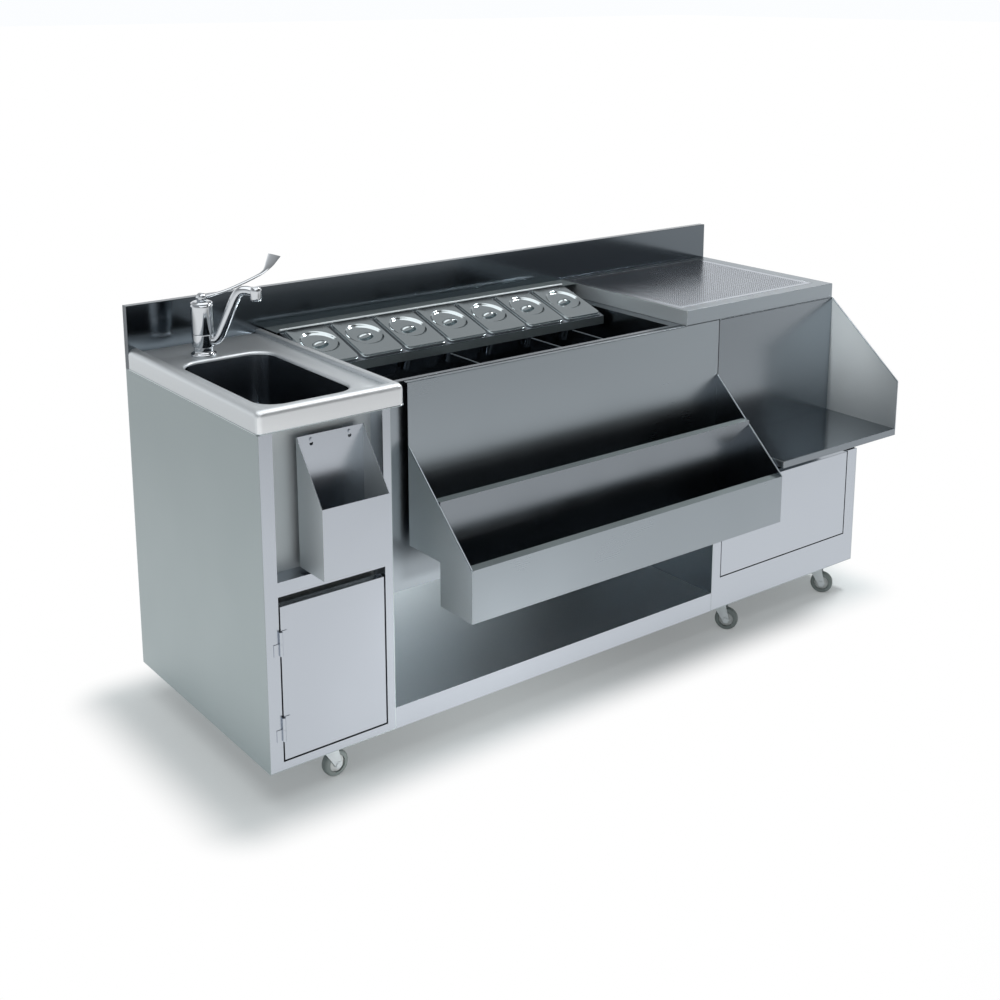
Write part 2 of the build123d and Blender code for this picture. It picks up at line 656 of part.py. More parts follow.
# Sloping rack: its own frame has x from the left cheek, y along the slope from the back edge, z off the slope
def rack_and_pans():
    at_rack = Pos(rack_left + SHEET, rack_back, work_top) * Rot(RACK_TILT, 0, 0)
    width = pan_pitch * PAN_COUNT
    flange_width = pan_pitch - PAN_SPACING
    pan_y = -RACK_LENGTH / 2
    pan_size = (flange_width - 2 * PAN_FLANGE, PAN_FLANGE_LENGTH - 2 * PAN_FLANGE)
    hole_size = (pan_size[0] + 2 * PAN_FIT, pan_size[1] + 2 * PAN_FIT)
    centres = [(number + 0.5) * pan_pitch for number in range(PAN_COUNT)]
    hole_y = (pan_y - hole_size[1] / 2, pan_y + hole_size[1] / 2)
    level = (-SHEET, 0)
    strips = [block((0, width), (-RACK_LENGTH, hole_y[0]), level), block((0, width), (hole_y[1], 0), level)]
    edges = [0] + [x + way * hole_size[0] / 2 for x in centres for way in (-1, 1)] + [width]
    for start, end in zip(edges[0::2], edges[1::2]):
        strips.append(block((start, end), hole_y, level))
    lip = (rack_front_z - RACK_LIP, rack_front_z - SHEET)
    cheek = [(rack_front, lip[0]), (rack_back, panel_top), (rack_back, work_top), (rack_front, rack_front_z)]
    tab_y = (rack_back - RACK_TAB_LENGTH, rack_back)
    tab_z = (panel_top, panel_top + SHEET)
    save(
        "pan_rack",
        *[at_rack * strip for strip in strips],
        block((rack_left + SHEET, rack_right - SHEET), (rack_front - SHEET, rack_front), lip),
        block((SINK_TOP_WIDTH, right_start), (rack_back, splash_front), (work_top - SHEET, work_top)),
        side_plate(cheek, (rack_left, rack_left + SHEET)),
        side_plate(cheek, (rack_right - SHEET, rack_right)),
        block((SINK_TOP_WIDTH, rack_left), tab_y, tab_z),
        block((rack_right, well_right + RACK_TAB), tab_y, tab_z),
    )
    for number, x in enumerate(centres, start=1):
        place = at_rack * Pos(x, pan_y, 0)
        save(f"pan_{number}", place * garnish_pan(flange_width, pan_size))
        save(f"lid_{number}", place * pan_lid(flange_width))


def garnish_pan(flange_width, pan_size):
    """An open pan hung by its flange, with its rim at the slope's surface."""
    flange = extrude(RectangleRounded(flange_width, PAN_FLANGE_LENGTH, PAN_CORNER), amount=SHEET)
    body = Pos(0, 0, -PAN_DEPTH) * extrude(RectangleRounded(*pan_size, PAN_CORNER), amount=PAN_DEPTH)
    inner = (pan_size[0] - 2 * PAN_WALL, pan_size[1] - 2 * PAN_WALL)
    hollow = extrude(RectangleRounded(*inner, PAN_CORNER - PAN_WALL), amount=PAN_DEPTH + SHEET)
    return flange + body - Pos(0, 0, PAN_WALL - PAN_DEPTH) * hollow


def pan_lid(flange_width):
    """A lid with a raised middle, a round dish in it and a bar across the dish."""
    size = (flange_width - 2 * LID_INSET, PAN_FLANGE_LENGTH - 2 * LID_INSET)
    dome = (size[0] - 2 * LID_DOME_INSET, size[1] - 2 * LID_DOME_INSET)
    seat = SHEET + CLEARANCE
    lid = extrude(RectangleRounded(*size, PAN_CORNER), amount=SHEET)
    raised = extrude(RectangleRounded(*dome, PAN_CORNER), amount=LID_DOME)
    raised = fillet(raised.edges().group_by(Axis.Z)[-1], LID_DOME / 2)
    lid += raised
    under = (dome[0] - 2 * LID_DOME, dome[1] - 2 * LID_DOME)
    lid -= extrude(RectangleRounded(*under, PAN_CORNER - SHEET), amount=LID_DOME - SHEET)
    dish_floor = LID_DOME - LID_DISH - SHEET
    lid += post(0, 0, LID_DISH_RADIUS + SHEET, (dish_floor, LID_DOME - SHEET))
    lid -= post(0, 0, LID_DISH_RADIUS, (dish_floor + SHEET, LID_DOME))
    bar_half = LID_HANDLE_WIDTH / 2
    bar = block(
        (-LID_DISH_RADIUS - SHEET, LID_DISH_RADIUS + SHEET),
        (-bar_half, bar_half),
        (LID_DOME - SHEET, LID_DOME + LID_HANDLE_RISE - SHEET),
    )
    return Pos(0, 0, seat) * (lid + bar)


# Cleats: a strip with an upright lip on the housing, and a hook on the hung unit that drops over it
def cleat(x):
    """Returns the housing's strip and the hung unit's hook, between two x limits."""
    hook_top = panel_top - CLEAT_DROP
    lip_top = hook_top - SHEET - CLEARANCE
    strip_floor = lip_top - CLEAT_LIP
    lip_y = HOUSING_FRONT - CLEAT_REACH
    strip = [
        block(x, (lip_y, HOUSING_FRONT - SHEET), (strip_floor - SHEET, strip_floor)),
        block(x, (lip_y, lip_y + SHEET), (strip_floor, lip_top)),
        block(x, (HOUSING_FRONT - SHEET, HOUSING_FRONT), (strip_floor - CLEAT_HEIGHT, strip_floor)),
    ]
    hook_y = lip_y + 2 * SHEET
    hook = [
        block(x, (panel_back, hook_y + SHEET), (hook_top - SHEET, hook_top)),
        block(x, (hook_y, hook_y + SHEET), (strip_floor + SHEET, hook_top - SHEET)),
    ]
    return strip, hook


def buttons(x, z):
    """Two stand-off buttons that keep the foot of a hung panel off the housing."""
    reach = (panel_back + CLEARANCE, HOUSING_FRONT)
    return [depth_pin(at, z, BUTTON_RADIUS, reach) for at in (x[0] + BUTTON_INSET, x[1] - BUTTON_INSET)]


# Speed rail: a back panel, two stepped troughs and a sloping gusset at each end
def speed_rail():
    x = (RAIL_LEFT, rail_right)
    front = -FRONT_REACH
    step = RAIL_PLANE - RAIL_BACK_DEPTH
    gusset_top = panel_top - RAIL_GUSSET_DROP
    front_top = panel_top - RAIL_FRONT_DROP
    front_bottom = front_top - RAIL_FRONT_HEIGHT
    back_bottom = panel_top - RAIL_PANEL_HEIGHT
    divider_top = panel_top - RAIL_DIVIDER_DROP
    slope = (gusset_top - front_top) / (RAIL_PLANE - front)
    step_top = front_top + slope * (step - front)
    inside_front = front + SHEET
    front_corner = front_top + slope * SHEET
    between = (x[0] + SHEET, x[1] - SHEET)
    hem_x = (x[0], right_start - SHELF_GAP)
    rear_side = [
        (step, back_bottom),
        (RAIL_PLANE, back_bottom),
        (RAIL_PLANE, gusset_top),
        (step, step_top),
    ]
    front_side = [
        (inside_front, front_bottom),
        (step, front_bottom),
        (step, step_top),
        (inside_front, front_corner),
    ]
    strip, hook = cleat((x[0] + CLEAT_INSET, x[1] - CLEAT_INSET))
    pieces = [
        block(x, (RAIL_PLANE, panel_back), (back_bottom, panel_top)),
        block(hem_x, (panel_back, panel_back + PANEL_HEM), (panel_top - SHEET, panel_top)),
        block(between, (step + SHEET, RAIL_PLANE), (back_bottom, back_bottom + SHEET)),
        block(between, (step, step + SHEET), (front_bottom, divider_top)),
        block(between, (step + SHEET, step + RAIL_HEM), (divider_top - SHEET, divider_top)),
        block(between, (inside_front, step), (front_bottom, front_bottom + SHEET)),
        block(x, (front, inside_front), (front_bottom, front_top)),
        block(between, (inside_front, inside_front + RAIL_HEM), (front_top - SHEET, front_top)),
        *hook,
    ]
    for end in ((x[0], x[0] + SHEET), (x[1] - SHEET, x[1])):
        pieces.append(side_plate(rear_side, end))
        pieces.append(side_plate(front_side, end))
    save("speed_rail", *pieces)
    return strip + buttons(x, back_bottom + BUTTON_RISE)


# Shelf unit beside the rail: a back panel, a lipped shelf and one sloping gusset at the right end
def bar_shelf():
    x = (rail_right + SHELF_GAP, LENGTH)
    front = -FRONT_REACH
    shelf = (shelf_top - SHEET, shelf_top)
    top = panel_top - SHEET
    gusset = [
        (front, shelf[0]),
        (RAIL_PLANE, shelf[0]),
        (RAIL_PLANE, top),
        (front, shelf_top + SHELF_GUSSET_FRONT),
    ]
    strip, hook = cleat((x[0] + CLEAT_INSET, x[1] - CLEAT_INSET))
    save(
        "bar_shelf",
        block(x, (RAIL_PLANE, panel_back), (shelf[0], top)),
        block((x[0], x[1] - SHEET), (front, RAIL_PLANE), shelf),
        block(x, (front, front + SHEET), (shelf_top - SHELF_LIP, shelf[0])),
        side_plate(gusset, (x[1] - SHEET, x[1])),
        *hook,
    )
    return strip + buttons(x, shelf_top + BUTTON_RISE)


# Right worktop: a frame with a fascia, a lift-out perforated tray and a drip pan under it
def drainer():
    x = (right_start, LENGTH)
    y = (RAIL_PLANE + FASCIA_SETBACK, splash_front)
    hole_x = (x[0] + DRAIN_MARGIN_LEFT, x[1] - DRAIN_MARGIN_RIGHT)
    hole_y = (y[0] + DRAIN_MARGIN_FRONT, y[1] - DRAIN_MARGIN_BACK)
    seat = work_top - TRAY_EDGE
    body = block(x, y, (panel_top, work_top))
    body -= block((x[0] + SHEET, x[1] - SHEET), (y[0] + SHEET, y[1] - SHEET), (panel_top, work_top - SHEET))
    step_x = (hole_x[0] - SHEET, hole_x[1] + SHEET)
    step_y = (hole_y[0] - SHEET, hole_y[1] + SHEET)
    body += block(step_x, step_y, (seat - SHEET, work_top))
    body -= block(hole_x, hole_y, (seat, work_top))
    through_x = (hole_x[0] + TRAY_LEDGE, hole_x[1] - TRAY_LEDGE)
    through_y = (hole_y[0] + TRAY_LEDGE, hole_y[1] - TRAY_LEDGE)
    body -= block(through_x, through_y, (seat - SHEET, work_top))
    save("drainer_frame", body)

    tray_x = (hole_x[0] + TRAY_FIT, hole_x[1] - TRAY_FIT)
    tray_y = (hole_y[0] + TRAY_FIT, hole_y[1] - TRAY_FIT)
    tray = block(tray_x, tray_y, (seat, work_top))
    tray -= block(
        (tray_x[0] + SHEET, tray_x[1] - SHEET),
        (tray_y[0] + SHEET, tray_y[1] - SHEET),
        (seat, work_top - SHEET),
    )
    row_pitch = HOLE_PITCH * math.sin(math.radians(60))
    field = (tray_x[1] - tray_x[0] - 2 * TRAY_BORDER, tray_y[1] - tray_y[0] - 2 * TRAY_BORDER)
    rows = int(field[1] // row_pitch)
    across = int(field[0] // HOLE_PITCH)
    spots = []
    for row in range(rows + 1):
        shift = (row % 2) / 2
        for column in range(across):
            spots.append(((column + shift - across / 2 + 0.25) * HOLE_PITCH, (row - rows / 2) * row_pitch))
    middle = ((tray_x[0] + tray_x[1]) / 2, (tray_y[0] + tray_y[1]) / 2)
    holes = extrude(Sketch() + [Pos(*spot) * Circle(HOLE_RADIUS) for spot in spots], amount=SHEET)
    save("perforated_tray", tray - Pos(*middle, work_top - SHEET) * holes)

    drip_x = (through_x[0] + DRIP_INSET, through_x[1] - DRIP_INSET)
    drip_y = (through_y[0] + DRIP_INSET, through_y[1] - DRIP_INSET)
    top = seat - SHEET
    low = top - DRIP_DEPTH
    floor_z = (low, low + SHEET)
    wall = (low + SHEET, top - SHEET)
    rim = (top - SHEET, top)
    rim_x = (hole_x[0], hole_x[1])
    rim_y = (hole_y[0], hole_y[1])
    save(
        "drip_pan",
        block(drip_x, drip_y, floor_z),
        block((drip_x[0], drip_x[0] + SHEET), drip_y, wall),
        block((drip_x[1] - SHEET, drip_x[1]), drip_y, wall),
        block((drip_x[0] + SHEET, drip_x[1] - SHEET), (drip_y[0], drip_y[0] + SHEET), wall),
        block((drip_x[0] + SHEET, drip_x[1] - SHEET), (drip_y[1] - SHEET, drip_y[1]), wall),
        block((rim_x[0], drip_x[0] + SHEET), rim_y, rim),
        block((drip_x[1] - SHEET, rim_x[1]), rim_y, rim),
        block((drip_x[0] + SHEET, drip_x[1] - SHEET), (rim_y[0], drip_y[0] + SHEET), rim),
        block((drip_x[0] + SHEET, drip_x[1] - SHEET), (drip_y[1] - SHEET, rim_y[1]), rim),
    )


# Base shelf between the cabinets
def base_shelf():
    x = (LEFT_WIDTH, right_start)
    save(
        "base_shelf",
        block(x, (0, back_face), (base_top - SHEET, base_top)),
        block(x, (0, SHEET), (floor_gap, base_top - SHEET)),
        block(x, (back_face - SHEET, back_face), (floor_gap, base_top - SHEET)),
    )


# Right cabinet with its front frame, the waste flap that swings in from its top edge and the bin behind it
def right_cabinet():
    x = (right_start, LENGTH)
    inner = (x[0] + SHEET, x[1] - SHEET)
    rise = (floor_gap, right_top)
    save(
        "right_cabinet_shell",
        block((x[0], inner[0]), (0, back_face), rise),
        block((inner[1], x[1]), (0, back_face), rise),
        block(inner, (0, back_face), (floor_gap, floor_gap + SHEET)),
        block(inner, (TOP_SETBACK, back_face), (right_top - SHEET, right_top)),
    )
    opening = (x[0] + STILE_WIDTH, x[1] - END_STILE)
    front = (0, SHEET)
    upright = (floor_gap + SHEET, right_top)
    save(
        "right_front_frame",
        block((inner[0], opening[0]), front, upright),
        block((opening[1], inner[1]), front, upright),
        block((opening[0] - SHEET, opening[0]), (SHEET, STILE_RETURN), upright),
        block((opening[1], opening[1] + SHEET), (SHEET, STILE_RETURN), upright),
        block(opening, front, (floor_gap + SHEET, flap_bottom - FLAP_GAP)),
    )
    flap_x = (opening[0] + FLAP_GAP, opening[1] - FLAP_GAP)
    pivot = (FLAP_PIVOT_BACK, flap_top - FLAP_PIVOT_DROP)
    flap = block(flap_x, (0, FLAP_THICKNESS), (flap_bottom, flap_top))
    flap -= block(
        (flap_x[0] + SHEET, flap_x[1] - SHEET),
        (SHEET, FLAP_THICKNESS),
        (flap_bottom + SHEET, flap_top - SHEET),
    )
    flap -= cross_pin(*pivot, FLAP_PIN_RADIUS + RUNNING, opening)
    save("waste_flap", flap)

    bin_x = (inner[0] + BIN_INSET, inner[1] - BIN_INSET)
    bin_y = (BIN_FRONT, back_face - BIN_BACK_GAP)
    bin_z = (floor_gap + SHEET, right_top - SHEET - BIN_HEADROOM)
    wall = (bin_z[0] + SHEET, bin_z[1])
    between = (bin_x[0] + SHEET, bin_x[1] - SHEET)
    save(
        "waste_bin",
        block(bin_x, bin_y, (bin_z[0], bin_z[0] + SHEET)),
        block((bin_x[0], between[0]), bin_y, wall),
        block((between[1], bin_x[1]), bin_y, wall),
        block(between, (bin_y[0], bin_y[0] + SHEET), wall),
        block(between, (bin_y[1] - SHEET, bin_y[1]), wall),
    )


# Casters: top plates with kingpins under the cabinets, forks that swivel on them, wheels on axles
def casters():
    front_back = (CASTER_FRONT_Y, DEPTH - CASTER_BACK_INSET)
    along = (CASTER_LEFT_X, right_start + CASTER_RIGHT_INSET, LENGTH - CASTER_END_INSET)
    spots = [(x, y) for y in front_back for x in along]
    plate_low = floor_gap - CASTER_PLATE_THICKNESS
    race_low = plate_low - RACE_HEIGHT
    crown = (race_low - CLEARANCE - CROWN_THICKNESS, race_low - CLEARANCE)
    head = (crown[0] - CLEARANCE - KINGPIN_HEAD, crown[0] - CLEARANCE)
    half = CASTER_PLATE / 2
    plates = []
    for number, (x, y) in enumerate(spots, start=1):
        plate = block((x - half, x + half), (y - half, y + half), (plate_low, floor_gap))
        plate += post(x, y, RACE_RADIUS, (race_low, plate_low))
        plate += post(x, y, KINGPIN_RADIUS, (head[0], race_low))
        plate += post(x, y, KINGPIN_HEAD_RADIUS, head)
        plates.append(plate)
        place = Pos(x, y, 0) * Rot(0, 0, CASTER_TURNS[number - 1])
        save(f"caster_fork_{number}", place * caster_fork(crown))
        save(f"caster_wheel_{number}", place * caster_wheel())
    save("caster_plates", *plates)


def caster_fork(crown):
    """A crown with two legs and the axle, with the swivel axis at x and y of zero."""
    inside = WHEEL_WIDTH / 2 + FORK_SIDE_GAP
    outside = inside + FORK_SHEET
    eye = AXLE_HEAD_RADIUS + FORK_SHEET
    leg = [
        (CROWN_NOSE, crown[0]),
        (-CROWN_BACK, crown[0]),
        (-TRAIL - eye, WHEEL_RADIUS),
        (-TRAIL - eye / 2, WHEEL_RADIUS - eye),
        (-TRAIL + eye / 2, WHEEL_RADIUS - eye),
        (-TRAIL + eye, WHEEL_RADIUS),
    ]
    top = block((-outside, outside), (-CROWN_BACK, CROWN_NOSE), crown)
    fork = top + post(0, 0, KINGPIN_HEAD_RADIUS + FORK_SHEET, crown)
    fork += side_plate(leg, (-outside, -inside)) + side_plate(leg, (inside, outside))
    fork -= post(0, 0, KINGPIN_RADIUS + RUNNING, crown)
    fork += cross_pin(-TRAIL, WHEEL_RADIUS, AXLE_RADIUS, (-outside, outside))
    fork += cross_pin(-TRAIL, WHEEL_RADIUS, AXLE_HEAD_RADIUS, (-outside - AXLE_HEAD, -outside))
    return fork + cross_pin(-TRAIL, WHEEL_RADIUS, AXLE_HEAD_RADIUS, (outside, outside + AXLE_HEAD))


def caster_wheel():
    """A wheel with a rounded tread and a recessed hub on each side."""
    half = WHEEL_WIDTH / 2
    wheel = Cylinder(WHEEL_RADIUS, WHEEL_WIDTH)
    wheel = fillet(wheel.edges(), WHEEL_ROUND)
    for way in (-1, 1):
        recess = sorted((way * (half - HUB_RECESS), way * half))
        wheel -= post(0, 0, HUB_RADIUS, recess) - post(0, 0, AXLE_HEAD_RADIUS + FORK_SHEET, recess)
    wheel -= post(0, 0, AXLE_RADIUS + RUNNING, (-half, half))
    return Pos(0, -TRAIL, WHEEL_RADIUS) * Rot(0, 90, 0) * wheel


left_cabinet()
left_door()
hinges()
sink_top()
sink_bowl()
tap()
back()
well_housing()
ice_well()
rack_and_pans()
save("hanging_fittings", *cap_box(), *speed_rail(), *bar_shelf())
drainer()
base_shelf()
right_cabinet()
casters()
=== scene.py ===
import bpy
import math
import numpy as np
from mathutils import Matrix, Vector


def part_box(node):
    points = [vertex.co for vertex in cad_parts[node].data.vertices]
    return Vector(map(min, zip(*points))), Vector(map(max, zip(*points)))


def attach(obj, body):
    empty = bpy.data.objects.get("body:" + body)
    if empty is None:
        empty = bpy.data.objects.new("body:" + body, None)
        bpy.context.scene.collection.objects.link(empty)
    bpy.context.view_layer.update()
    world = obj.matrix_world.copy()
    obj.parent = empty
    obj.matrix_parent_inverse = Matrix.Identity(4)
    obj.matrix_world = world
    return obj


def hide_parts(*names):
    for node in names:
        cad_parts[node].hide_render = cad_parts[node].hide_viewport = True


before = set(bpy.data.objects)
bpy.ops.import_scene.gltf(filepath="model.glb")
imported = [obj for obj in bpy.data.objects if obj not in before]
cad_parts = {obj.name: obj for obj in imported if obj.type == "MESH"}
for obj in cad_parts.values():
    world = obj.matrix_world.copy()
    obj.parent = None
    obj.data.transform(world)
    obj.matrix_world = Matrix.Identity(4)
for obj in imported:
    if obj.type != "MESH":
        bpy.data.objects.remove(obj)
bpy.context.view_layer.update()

# Shapes are worked out in the drawing's millimetres: x from the left end, y from the cabinet fronts to the
# back, z from the floor. The scene is in metres, with its origin in the middle of the footprint.
ORIGIN = np.array((950.0, 262.0, 0.0))
METRE = 1000
UP = np.array((0.0, 0.0, 1.0))
SHEET = 1.5
PANS = range(1, 8)
CASTERS = range(1, 7)
DIVIDERS = range(1, 4)
# A direction counts as straight along an axis, or as leaning that way, from this share along it
STRAIGHT = 0.9
LEANING = 0.7


def span(name):
    """The lowest and highest corner of a CAD node, in drawing millimetres."""
    return [np.array(corner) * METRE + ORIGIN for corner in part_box(name)]


# Colours and shader nodes


def linear(code):
    """The linear colour of an sRGB hex code."""
    parts = [int(code[start:start + 2], 16) / 255 for start in (1, 3, 5)]
    return tuple(((c + 0.055) / 1.055) ** 2.4 if c > 0.04045 else c / 12.92 for c in parts) + (1.0,)


def new_material(name):
    """A material with its node tree and its shader."""
    material = bpy.data.materials.new(name)
    material.use_nodes = True
    tree = material.node_tree
    return material, tree, tree.nodes["Principled BSDF"]


def node(tree, kind, inputs=(), **settings):
    """Adds a node. Each input is a name or number with a value or another node's output."""
    made = tree.nodes.new(kind)
    for key, value in settings.items():
        setattr(made, key, value)
    for key, value in inputs:
        if isinstance(value, bpy.types.NodeSocket):
            tree.links.new(value, made.inputs[key])
        else:
            made.inputs[key].default_value = value
    return made


# Polishing leaves patches about this wide
PATCH = 200.0


def steel(name, tone, roughness, grain, wave=0.01, rub=0.02):
    """Metal sheet with rubbed grain. The grain is noise stretched along one axis, given as millimetres
    along x, y and z for one step of the noise. It varies the roughness by wave, up and down. A second, wide
    noise makes patches that are more or less polished, and varies it by rub."""
    material, tree, shader = new_material(name)
    place = node(tree, "ShaderNodeTexCoord").outputs["Object"]
    stretch = tuple(METRE / step for step in grain)
    streak = node(tree, "ShaderNodeMapping", [("Vector", place), ("Scale", stretch)])
    streak = node(
        tree,
        "ShaderNodeTexNoise",
        [("Vector", streak.outputs[0]), ("Scale", 1.0), ("Detail", 2.0)],
    )
    patch = node(
        tree,
        "ShaderNodeTexNoise",
        [("Vector", place), ("Scale", METRE / PATCH), ("Detail", 2.0)],
    )
    fine = node(
        tree,
        "ShaderNodeMapRange",
        [("Value", streak.outputs[0]), ("To Min", roughness - wave), ("To Max", roughness + wave)],
    )
    most_of_noise = [("From Min", 0.3), ("From Max", 0.7)]
    wide = node(
        tree,
        "ShaderNodeMapRange",
        [("Value", patch.outputs[0]), ("To Min", -rub), ("To Max", rub)] + most_of_noise,
    )
    both = node(tree, "ShaderNodeMath", [(0, fine.outputs[0]), (1, wide.outputs[0])], operation="ADD")
    shader.inputs["Base Color"].default_value = linear(tone)
    shader.inputs["Metallic"].default_value = 1.0
    tree.links.new(both.outputs[0], shader.inputs["Roughness"])
    return material


def plain(name, tone, roughness, metallic=0.0):
    """An even material without grain."""
    material, tree, shader = new_material(name)
    shader.inputs["Base Color"].default_value = linear(tone)
    shader.inputs["Roughness"].default_value = roughness
    shader.inputs["Metallic"].default_value = metallic
    return material


# Finishes

# Real brushed grain is about a fifth of a millimetre wide, which is too fine to show, so it is drawn as
# coarse as it needs to be.
GRAIN = 2.5
# Cabinet fronts, the box, the base strip and the drainer sheet, brushed from top to bottom: a soft, cool
# grey that mirrors only wide light and dark areas.
brushed_upright = steel("brushed steel, upright grain", "#BCC2CA", 0.25, (GRAIN, GRAIN, 300))
# The same sheet brushed along its length, for the long panels and the hems.
brushed_long = steel("brushed steel, long grain", "#9AA2A8", 0.29, (300, GRAIN, GRAIN))
# Cabinet sides, trough edges and the rack's strips, brushed across their length: duller, so that they
# take an even, slightly green grey.
brushed_across = steel("brushed steel, cross grain", "#A5B0B2", 0.42, (GRAIN, GRAIN, 200))
# End plates, the recess, the back of the bay and the well's front wall, left as blasted sheet: matt, so that
# they look lighter than the mirrors beside them.
matt = steel("matt steel sheet", "#D3D9DB", 0.6, (4, 4, 4))
# The backsplash and the bar shelf's top: smooth sheet whose darker colour is painted shade, so it shows as a
# dark mirror.
shade_darkened_sheet = steel("smooth dark steel sheet", "#656C72", 0.13, (300, 3, 3), 0.01, 0.01)
# The bar shelf's panel and lip: bright sheet, in which the panel mirrors the shelf and its end plate.
bright = steel("bright steel sheet", "#888F95", 0.2, (300, 3, 3), 0.01, 0.01)
# The well, the pans and the insides of the troughs: plain rolled sheet, not brushed, so it is smoother, with
# blurred mirror images. Its darker colour is painted shade, wherever it is laid.
rolled = steel("rolled steel sheet", "#868C92", 0.22, (60, 60, 60), 0.03)
# Sink top and base shelf: satin finish, which spreads the light from above over them.
satin = steel("satin steel", "#DADFE2", 0.42, (12, 12, 12), 0.04)
# The sink top's front edge: the same satin with a paler colour, a painted highlight on its front faces.
painted_pale_satin = steel("satin steel, painted paler front", "#EEF1F3", 0.4, (12, 12, 12), 0.04)
# Inside of the bowl: deep drawn and polished, dark because it mostly mirrors itself, and darker still
# through a painted shade in its colour.
drawn = steel("deep drawn steel", "#868C92", 0.2, (40, 40, 40), 0.03)
# Lids and the bead round the sink: bright pressed sheet, nearly polished.
pressed = steel("pressed steel", "#BFC8CB", 0.13, (40, 40, 40), 0.02)
# The tap: plated brass, a clear bright mirror.
chrome = steel("chrome plate", "#CDD1D5", 0.08, (30, 30, 30), 0.01, 0.01)
# Caster forks and plates: zinc plated, pale and dull, so that they scatter more than they mirror.
zinc = plain("zinc plate", "#D9DEE0", 0.45, 0.3)
# Tyres: moulded grey rubber, dull.
rubber = plain("grey rubber", "#7F8785", 0.55)
# Wheel centres: moulded plastic, paler than the tyre.
plastic = plain("pale grey plastic", "#C9CCCB", 0.4)

FINISHES = {
    brushed_upright: """left_front_frame left_door hinge_pins hinge_sleeves cap_box hanging_fittings
        right_front_frame waste_flap""",
    brushed_long: "well_housing speed_rail drainer_frame",
    bright: "bar_shelf",
    brushed_across: "left_cabinet_shell right_cabinet_shell base_shelf",
    matt: "back_panel",
    shade_darkened_sheet: "backsplash",
    rolled: """ice_well well_divider_1 well_divider_2 well_divider_3 well_drain waste_bin drip_pan
        pan_rack""",
    drawn: "sink_waste",
    zinc: "caster_plates",
}
finish_of = {name: material for material, names in FINISHES.items() for name in names.split()}
finish_of.update({f"pan_{number}": rolled for number in PANS})
finish_of.update({f"caster_fork_{number}": zinc for number in CASTERS})
for name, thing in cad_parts.items():
    thing.data.materials.clear()
    if name in finish_of:
        thing.data.materials.append(finish_of[name])


def refinish(thing, finish, choose):
    """Gives another finish to the faces that are chosen by their normals and middles."""
    faces = thing.data.polygons
    ways = np.empty(len(faces) * 3)
    middles = np.empty(len(faces) * 3)
    slots = np.empty(len(faces), dtype=int)
    faces.foreach_get("normal", ways)
    faces.foreach_get("center", middles)
    faces.foreach_get("material_index", slots)
    chosen = choose(ways.reshape(-1, 3), middles.reshape(-1, 3) * METRE + ORIGIN)
    thing.data.materials.append(finish)
    faces.foreach_set("material_index", np.where(chosen, len(thing.data.materials) - 1, slots))


# Places between one sheet of a node and the next
RIGHT_PART = 1400.0
RECESS = 40.0
REAR_STRIP = 566.0
TROUGH_LEFT = 439.0
TROUGH_FRONT = -124.0
TROUGH_BACK = 113.0
TROUGH_EDGE = 465.0
TROUGH_TOP = 600.0


def looks_up(ways, middles):
    """Faces that look straight up."""
    return ways[:, 2] > STRAIGHT


def looks_along(ways, middles):
    """Faces that look along the station, to the left or to the right."""
    return np.abs(ways[:, 0]) > STRAIGHT


def looks_left(ways, middles):
    """Faces that look to the left."""
    return ways[:, 0] < -STRAIGHT


def looks_front(ways, middles):
    """Faces that look to the front, upright or leaning."""
    return ways[:, 1] < -LEANING


def looks_back(ways, middles):
    """Faces that look to the back, upright or leaning."""
    return ways[:, 1] > LEANING


def at_right_end(ways, middles):
    """End faces in the right part of the station."""
    return looks_along(ways, middles) & (middles[:, 0] > RIGHT_PART)


def set_back(ways, middles):
    """Front faces in the recess over the left door."""
    return looks_front(ways, middles) & (middles[:, 1] > RECESS)


def behind_lids(ways, middles):
    """The rack's flat strip behind the lids."""
    return looks_up(ways, middles) & (middles[:, 1] > REAR_STRIP)


def in_trough(ways, middles):
    """Faces inside the rail's two troughs."""
    x, y, z = middles.T
    return (x > TROUGH_LEFT) & (y > TROUGH_FRONT) & (y < TROUGH_BACK) & (z < TROUGH_TOP)


def on_trough_edge(ways, middles):
    """Top edges of the troughs' walls."""
    height = middles[:, 2]
    return looks_up(ways, middles) & (height > TROUGH_EDGE) & (height < TROUGH_TOP)


# The troughs, the rail's right end, the right cabinet's side in the bay and the shelf's top are darker, a
# painted shade given by a darker sheet, and the end plates are matt.
REFINISHED = (
    ("speed_rail", matt, looks_along),
    ("bar_shelf", matt, looks_along),
    ("cap_box", matt, looks_along),
    ("drainer_frame", matt, looks_along),
    ("speed_rail", rolled, in_trough),
    ("speed_rail", rolled, at_right_end),
    ("speed_rail", brushed_across, on_trough_edge),
    ("bar_shelf", shade_darkened_sheet, looks_up),
    ("right_cabinet_shell", rolled, looks_left),
    ("base_shelf", satin, looks_up),
    ("base_shelf", brushed_upright, looks_front),
    ("well_housing", brushed_across, at_right_end),
    ("ice_well", matt, looks_back),
    ("left_front_frame", matt, set_back),
    ("pan_rack", brushed_across, looks_front),
    ("pan_rack", brushed_across, behind_lids),
)
for name, finish, choose in REFINISHED:
    refinish(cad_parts[name], finish, choose)


# Surfaces as grids of points


def grid(points, around=True, along=False):
    """Corners and faces of rows of points. Each face joins two neighbours in a row to the two in the next.
    Around joins the last column to the first, along the last row to the first. Seen from outside, columns
    run anticlockwise and rows run up."""
    rows, columns = points.shape[:2]
    index = np.arange(rows * columns).reshape(rows, columns)
    if around:
        index = np.concatenate([index, index[:, :1]], axis=1)
    if along:
        index = np.concatenate([index, index[:1]], axis=0)
    quads = np.stack([index[:-1, :-1], index[:-1, 1:], index[1:, 1:], index[1:, :-1]], axis=-1)
    return points.reshape(-1, 3), quads.reshape(-1, 4)


